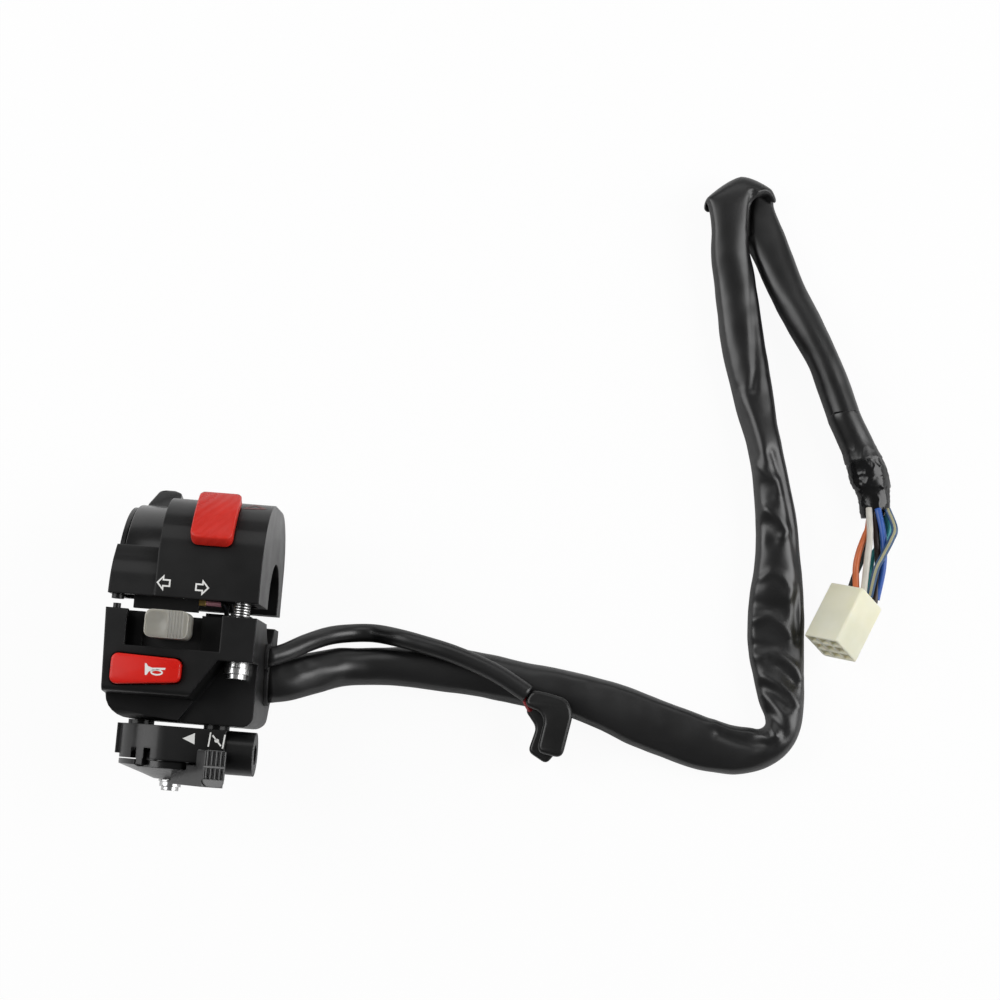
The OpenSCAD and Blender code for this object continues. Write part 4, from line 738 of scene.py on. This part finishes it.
# Wires inside the housing: name, colour and route
INNER_WIRES = [
    ("inner_wire_feed", (0.92, 0.42, 0.50), [(4.2, -2.1, 18.3), (6.4, -2.1, 18.3), (8.4, -2.1, 18.3)]),
    ("inner_wire_feed_tube", BLACK_SKIN,
     [(8.3, -2.1, 18.3), (8.6, -2.1, 18.3), (9.3, -4.4, 14.2), (9.3, -16.8, 14.2), (11.4, -20, 1.6),
      (17.3, -19.8, 0.6)]),
    ("inner_wire_hazard", BLACK_SKIN,
     [(8.5, 9.9, 23.2), (8.5, 8.2, 21.2), (8.6, 3, 19.4), (10.9, -3.6, 14.2), (10.9, -16.8, 14.2),
      (12.4, -18.3, 1), (17.3, -18, -1)]),
    ("inner_wire_dimmer", (0.03, 0.09, 0.36),
     [(-6.5, 8.1, 11.5), (-5.5, 8.1, 11.5), (-3.7, 8.6, 12.6), (8, 8.6, 13), (11, 2.4, 15.6),
      (12.5, -3.4, 14.2), (12.5, -16.8, 14.2), (14.6, -17.2, -1.6), (17.3, -17.6, -3.6)]),
    ("inner_wire_turn", (0.50, 0.18, 0.03),
     [(3, -15.2, 17), (3, -15.8, 11), (9, -20.6, -1), (17.3, -20.6, -2.6)]),
    ("inner_wire_horn", (0.18, 0.36, 0.06),
     [(-3, -28, 17.8), (-3, -29.4, 17.6), (-3, -29.4, 11), (8, -24, -1), (17.3, -22.4, -2.5)]),
]
# Wires from the clutch lead into its boots: name, colour and route
BOOT_WIRES = [
    ("boot_wire_dark", BLACK_SKIN,
     [(89, -17.2, -5.2), (90.7, -18.8, -5.3), (91.8, -19.5, -5.4), (94.2, -19.9, -5.4)]),
    ("boot_wire_red", (0.50, 0.02, 0.03),
     [(88.8, -18.6, -6.2), (89.9, -20.6, -7.6), (90.9, -22, -10), (92.4, -23.6, -11.4), (94, -25, -11.6)]),
]


def insulation(name, color):
    dark = tuple(c * DARK_SHARE for c in color)
    return surface(name, dark, color, (0.32, 0.44), grain_mm=0.5, grain=0.05, patch_mm=4)


def make_wire(name, color, route, radius, stripe=None, pull=0.5):
    verts, faces = round_tube(spline(route, WIRE_STEP, pull), radius, WIRE_SIDES)
    materials = [insulation(name + "_skin", color)]
    if stripe:
        materials.append(insulation(name + "_stripe", stripe))

    def on_stripe(face):
        return int(bool(stripe) and face % WIRE_SIDES in STRIPE_FACES)

    return mesh_object(name, verts, faces, materials, material_of=on_stripe)


for name, color, stripe, route in PLUG_WIRES:
    wire = make_wire(name, color, route, PLUG_WIRE_R, stripe)
    enter(wire, "housing", "plug_wires")

for name, color, route in INNER_WIRES:
    wire = make_wire(name, color, route, INNER_WIRE_R, pull=INNER_WIRE_PULL)
    enter(wire, "housing", "inner_wires")

for name, color, route in BOOT_WIRES:
    wire = make_wire(name, color, route, BOOT_WIRE_R)
    enter(wire, "housing", "clutch_wires")

# Rubber boots on the clutch lead
FRONT_BOOT = [
    (89.1, -21.1), (93.6, -22.5), (94.9, -24.8), (93.5, -33.4), (100.5, -34.6), (102.6, -22.6),
    (100.8, -18.6), (94.8, -17.2), (90.6, -16.8),
]
BACK_BOOT = [
    (89.7, -22.4), (93, -26.6), (91.2, -33.4), (96.5, -36.4), (99.2, -32.6), (98.6, -25.6), (94.6, -22),
    (91, -20.2),
]
RIM_STEPS = 11
CORNER_STEPS = 5
# Share of an outline's edge that the arc at one end may take up
CORNER_SHARE = 0.45


def rounded_outline(points, radius):
    """Outline whose corners are arcs of about that radius."""
    out = []
    for i, p in enumerate(points):
        p, a, b = Vector(p), Vector(points[i - 1]), Vector(points[(i + 1) % len(points)])
        ua, ub = (a - p), (b - p)
        cut = min(radius, CORNER_SHARE * ua.length, CORNER_SHARE * ub.length)
        s, e = p + ua.normalized() * cut, p + ub.normalized() * cut
        for k in range(CORNER_STEPS + 1):
            t = k / CORNER_STEPS
            out.append(s * (1 - t) ** 2 + p * 2 * t * (1 - t) + e * t ** 2)
    return out


def pillow(name, points, material, z_mid, half_t, rim, corner, lean):
    """Flat moulding with an outline seen from above and rounded rims, leaning over its width."""
    outline = rounded_outline(points, corner)
    n = len(outline)
    inward = []
    for i in range(n):
        t = (outline[(i + 1) % n] - outline[i - 1]).normalized()
        inward.append(Vector((-t.y, t.x)))
    verts = []
    for k in range(RIM_STEPS + 1):
        a = math.pi * (k / RIM_STEPS - 0.5)
        inset = rim * (1 - math.cos(a))
        z = z_mid + math.copysign(half_t - rim, a) + rim * math.sin(a)
        verts += [(*(p + d * inset), z + lean * (p.x - points[0][0])) for p, d in zip(outline, inward)]
    walls = tube_faces(RIM_STEPS + 1, n)[:-2]
    top = [tuple(t) for t in tessellate_polygon([[Vector((v[0], v[1], 0)) for v in verts[:n]]])]
    bottom = [tuple(reversed(t)) for t in top]
    lids = bottom + [tuple(i + RIM_STEPS * n for i in t) for t in top]
    return mesh_object(name, verts, walls + lids, [material])


boots = [
    pillow("clutch_boot_front", FRONT_BOOT, BOOT, z_mid=-6.2, half_t=2.5, rim=1.1, corner=2.2, lean=0.12),
    pillow("clutch_boot_back", BACK_BOOT, BOOT, z_mid=-12, half_t=2.4, rim=0.9, corner=1.6, lean=0.1),
]
for boot in boots:
    enter(boot, "housing", "clutch_boots")

# Printed symbols, laid on the faces that the rider sees
INK_RISE = 0.05
ARROW_INK_W = 0.42
INK_W = 0.4
INK_STEP = 0.4
# Least cosine that the width at a line's corner is divided by, so that sharp corners don't reach far
LEAST_MITRE = 0.4
RING_POINTS = 20
# Height that the points of a symbol are dropped from
DROP_FROM_M = 0.1
# Outlines and places of the symbols; of the arrow, the upper half as it points to the left
ARROW_HALF = [(-1.55, 0), (-0.1, 1.65), (-0.1, 0.78), (1.6, 0.78)]
LEFT_ARROW_AT = (-5.4, 1.5)
RIGHT_ARROW_AT = (4.65, 1.05)
HORN_FLARE = [
    (-7.6, -19.5), (-7.2, -19.5), (-6.7, -20.2), (-5.6, -20.5), (-2.2, -20.3), (-2.35, -20.8),
    (-5.5, -21.2), (-6.4, -21.5), (-6.9, -22.45), (-7.35, -22.45),
]
HORN_LOOP_AT = (-4.4, -21.6)
HORN_LOOP_R = (1.4, 0.6)
CHOKE_POINTER = [(2.06, -37.6), (5.15, -36), (5.3, -38.9)]
CHOKE_BARREL = [[(9.2, -35.5), (8.9, -39.2)], [(12.95, -35.8), (12.6, -39.4)]]
CHOKE_FLAP = [(9.75, -36.2), (12.15, -38.8)]
CHOKE_HUB_AT = (10.95, -37.5)
CHOKE_HUB_R = (0.6, 0.5)
HAZARD_TRIANGLE = [(12.1, 23.3), (17.4, 23.7), (14.5, 24.8)]


def face_below(node):
    """Function that drops a point seen from above onto a CAD piece, a little off its face."""
    obj = nodes[node]
    points = [obj.matrix_world @ v.co for v in obj.data.vertices]
    tree = BVHTree.FromPolygons(points, [p.vertices for p in obj.data.polygons])

    def drop(p):
        start = Vector((p[0] * MM, p[1] * MM, DROP_FROM_M))
        place, normal, _, _ = tree.ray_cast(start, Vector((0, 0, -1)))
        return place / MM + normal * INK_RISE

    return drop


def stroke(points, width=INK_W, closed=False):
    """Quads of a drawn line of that width."""
    points = [Vector(p) for p in points]
    n = len(points)
    verts = []
    for i, p in enumerate(points):
        before = points[i - 1] if closed or i else p
        after = points[(i + 1) % n] if closed or i < n - 1 else p
        a = (p - before).normalized() if p != before else (after - p).normalized()
        b = (after - p).normalized() if p != after else a
        across = Vector((-(a + b).y, (a + b).x)).normalized()
        reach = width / 2 / max(LEAST_MITRE, abs(across.dot(Vector((-a.y, a.x)))))
        verts += [p + across * reach, p - across * reach]
    count = n if closed else n - 1
    return verts, [(2 * i, 2 * i + 1, (2 * i + 3) % (2 * n), (2 * i + 2) % (2 * n)) for i in range(count)]


def dense(points):
    """Closed outline with points close together, so that it can follow a round face."""
    out = []
    for i, b in enumerate(points):
        a, b = Vector(points[i - 1]), Vector(b)
        count = max(1, round((b - a).length / INK_STEP))
        out += [a.lerp(b, k / count) for k in range(count)]
    return out


def filled(points):
    triangles = tessellate_polygon([[Vector((*p, 0)) for p in points]])
    return points, [tuple(t) for t in triangles]


def turn_arrow(at, way):
    """Outline arrow that points one way along the bar."""
    loop = ARROW_HALF + [(px, -py) for px, py in reversed(ARROW_HALF[1:])]
    return stroke([(at[0] - way * px, at[1] + py) for px, py in loop], ARROW_INK_W, closed=True)


def ring_line(at, radii):
    angles = [2 * math.pi * k / RING_POINTS for k in range(RING_POINTS)]
    return [(at[0] + radii[0] * math.cos(a), at[1] + radii[1] * math.sin(a)) for a in angles]


def stamp(name, shapes, node, body, material):
    """Printed piece from flat shapes, laid on a CAD piece."""
    drop = face_below(node)
    verts, faces = [], []
    for points, polygons in shapes:
        faces += [tuple(i + len(verts) for i in p) for p in polygons]
        verts += [drop(p) for p in points]
    enter(mesh_object(name, verts, faces, [material], smooth=False), body)


stamp("turn_symbols", [turn_arrow(LEFT_ARROW_AT, -1), turn_arrow(RIGHT_ARROW_AT, 1)],
      "upper_housing", "housing", WHITE_INK)
stamp("horn_symbol", [filled(HORN_FLARE), stroke(ring_line(HORN_LOOP_AT, HORN_LOOP_R), closed=True)],
      "horn_button", "horn", WHITE_INK)
stamp("choke_symbols", [filled(CHOKE_POINTER), *[stroke(line) for line in CHOKE_BARREL], stroke(CHOKE_FLAP),
                        filled(ring_line(CHOKE_HUB_AT, CHOKE_HUB_R))],
      "choke_holder", "housing", WHITE_INK)
stamp("hazard_symbol", [stroke(dense(HAZARD_TRIANGLE), closed=True)],
      "upper_housing", "housing", RED_INK)

# Thread of the near clamp screw where it shows between the halves
THREAD_AT = (14.5, -6.1, 23.5)
THREAD_R = 1.95
THREAD_TURNS = 6
THREAD_PITCH = 0.7
TURN_STEPS = 16
THREAD_RIDGE_R = 0.26
THREAD_RIDGE_SIDES = 8


def thread_point(i):
    x, y, z = THREAD_AT
    a = 2 * math.pi * i / TURN_STEPS
    return Vector((x + THREAD_R * math.cos(a), y + THREAD_PITCH * i / TURN_STEPS, z + THREAD_R * math.sin(a)))


def make_thread():
    path = [thread_point(i) for i in range(THREAD_TURNS * TURN_STEPS + 1)]
    verts, faces = round_tube(path, THREAD_RIDGE_R, THREAD_RIDGE_SIDES)
    return mesh_object("clamp_screw_thread", verts, faces, [DARK_STEEL])


enter(make_thread(), "housing")

# Floor and light
WHITE = (1, 1, 1, 1)
FLOOR_SIZE_M = 6
FLOOR_AT_M = (0.09, 0.05)
FLOOR_COLOR = (0.94, 0.94, 0.94, 1)
# Share of plain white in the floor as the camera sees it, beside its own colour and shadows
FLOOR_WHITE_SHARE = 0.94
WORLD_STRENGTH = 0.16
LIGHT_TARGET_M = (0.07, 0.03, 0)
# Lamps: name, place, width and height in metres, and watts
LAMPS = [
    ("key_right", (0.75, 0.10, 0.42), 0.5, 0.7, 4.8),
    ("fill_left", (-0.55, 0.15, 0.45), 0.5, 0.7, 3.8),
    ("top_back", (0.10, 0.75, 0.50), 0.7, 0.4, 1.0),
]


def make_floor():
    bpy.ops.mesh.primitive_plane_add(size=FLOOR_SIZE_M, location=(*FLOOR_AT_M, FLOOR_Z * MM))
    floor = bpy.context.object
    floor.name = "floor"
    mat = bpy.data.materials.new("floor")
    mat.use_nodes = True
    tree = mat.node_tree
    tree.nodes.clear()
    out = tree.nodes.new("ShaderNodeOutputMaterial")
    diffuse = tree.nodes.new("ShaderNodeBsdfDiffuse")
    diffuse.inputs[0].default_value = FLOOR_COLOR
    glow = tree.nodes.new("ShaderNodeEmission")
    glow.inputs[0].default_value = WHITE
    glow.inputs[1].default_value = 1.0
    mix = tree.nodes.new("ShaderNodeMixShader")
    path = tree.nodes.new("ShaderNodeLightPath")
    share = tree.nodes.new("ShaderNodeMath")
    share.operation = "MULTIPLY"
    share.inputs[1].default_value = FLOOR_WHITE_SHARE
    tree.links.new(path.outputs["Is Camera Ray"], share.inputs[0])
    tree.links.new(share.outputs[0], mix.inputs[0])
    tree.links.new(diffuse.outputs[0], mix.inputs[1])
    tree.links.new(glow.outputs[0], mix.inputs[2])
    tree.links.new(mix.outputs[0], out.inputs[0])
    floor.data.materials.append(mat)


def background(tree, strength):
    node = tree.nodes.new("ShaderNodeBackground")
    node.inputs[0].default_value = WHITE
    node.inputs[1].default_value = strength
    return node


def make_world():
    """Dim light on the object, and white where the camera looks past the floor."""
    world = bpy.data.worlds.new("world")
    scene.world = world
    world.use_nodes = True
    tree = world.node_tree
    tree.nodes.clear()
    out = tree.nodes.new("ShaderNodeOutputWorld")
    dim = background(tree, WORLD_STRENGTH)
    white = background(tree, 1.0)
    mix = tree.nodes.new("ShaderNodeMixShader")
    path = tree.nodes.new("ShaderNodeLightPath")
    tree.links.new(path.outputs["Is Camera Ray"], mix.inputs[0])
    tree.links.new(dim.outputs[0], mix.inputs[1])
    tree.links.new(white.outputs[0], mix.inputs[2])
    tree.links.new(mix.outputs[0], out.inputs[0])


def make_lamp(name, place, width, height, watts):
    data = bpy.data.lights.new(name, "AREA")
    data.energy = watts
    data.shape = "RECTANGLE"
    data.size = width
    data.size_y = height
    lamp = bpy.data.objects.new(name, data)
    scene.collection.objects.link(lamp)
    lamp.location = place
    lamp.rotation_mode = "QUATERNION"
    lamp.rotation_quaternion = (Vector(LIGHT_TARGET_M) - Vector(place)).to_track_quat("-Z", "Y")


make_floor()
make_world()
for lamp in LAMPS:
    make_lamp(*lamp)
scene.view_settings.view_transform = "Standard"

arc_lengths(sleeve_path)[-1] * MM
arc_lengths(lead_path)[-1] * MM
[p * MM for p in lead_path]
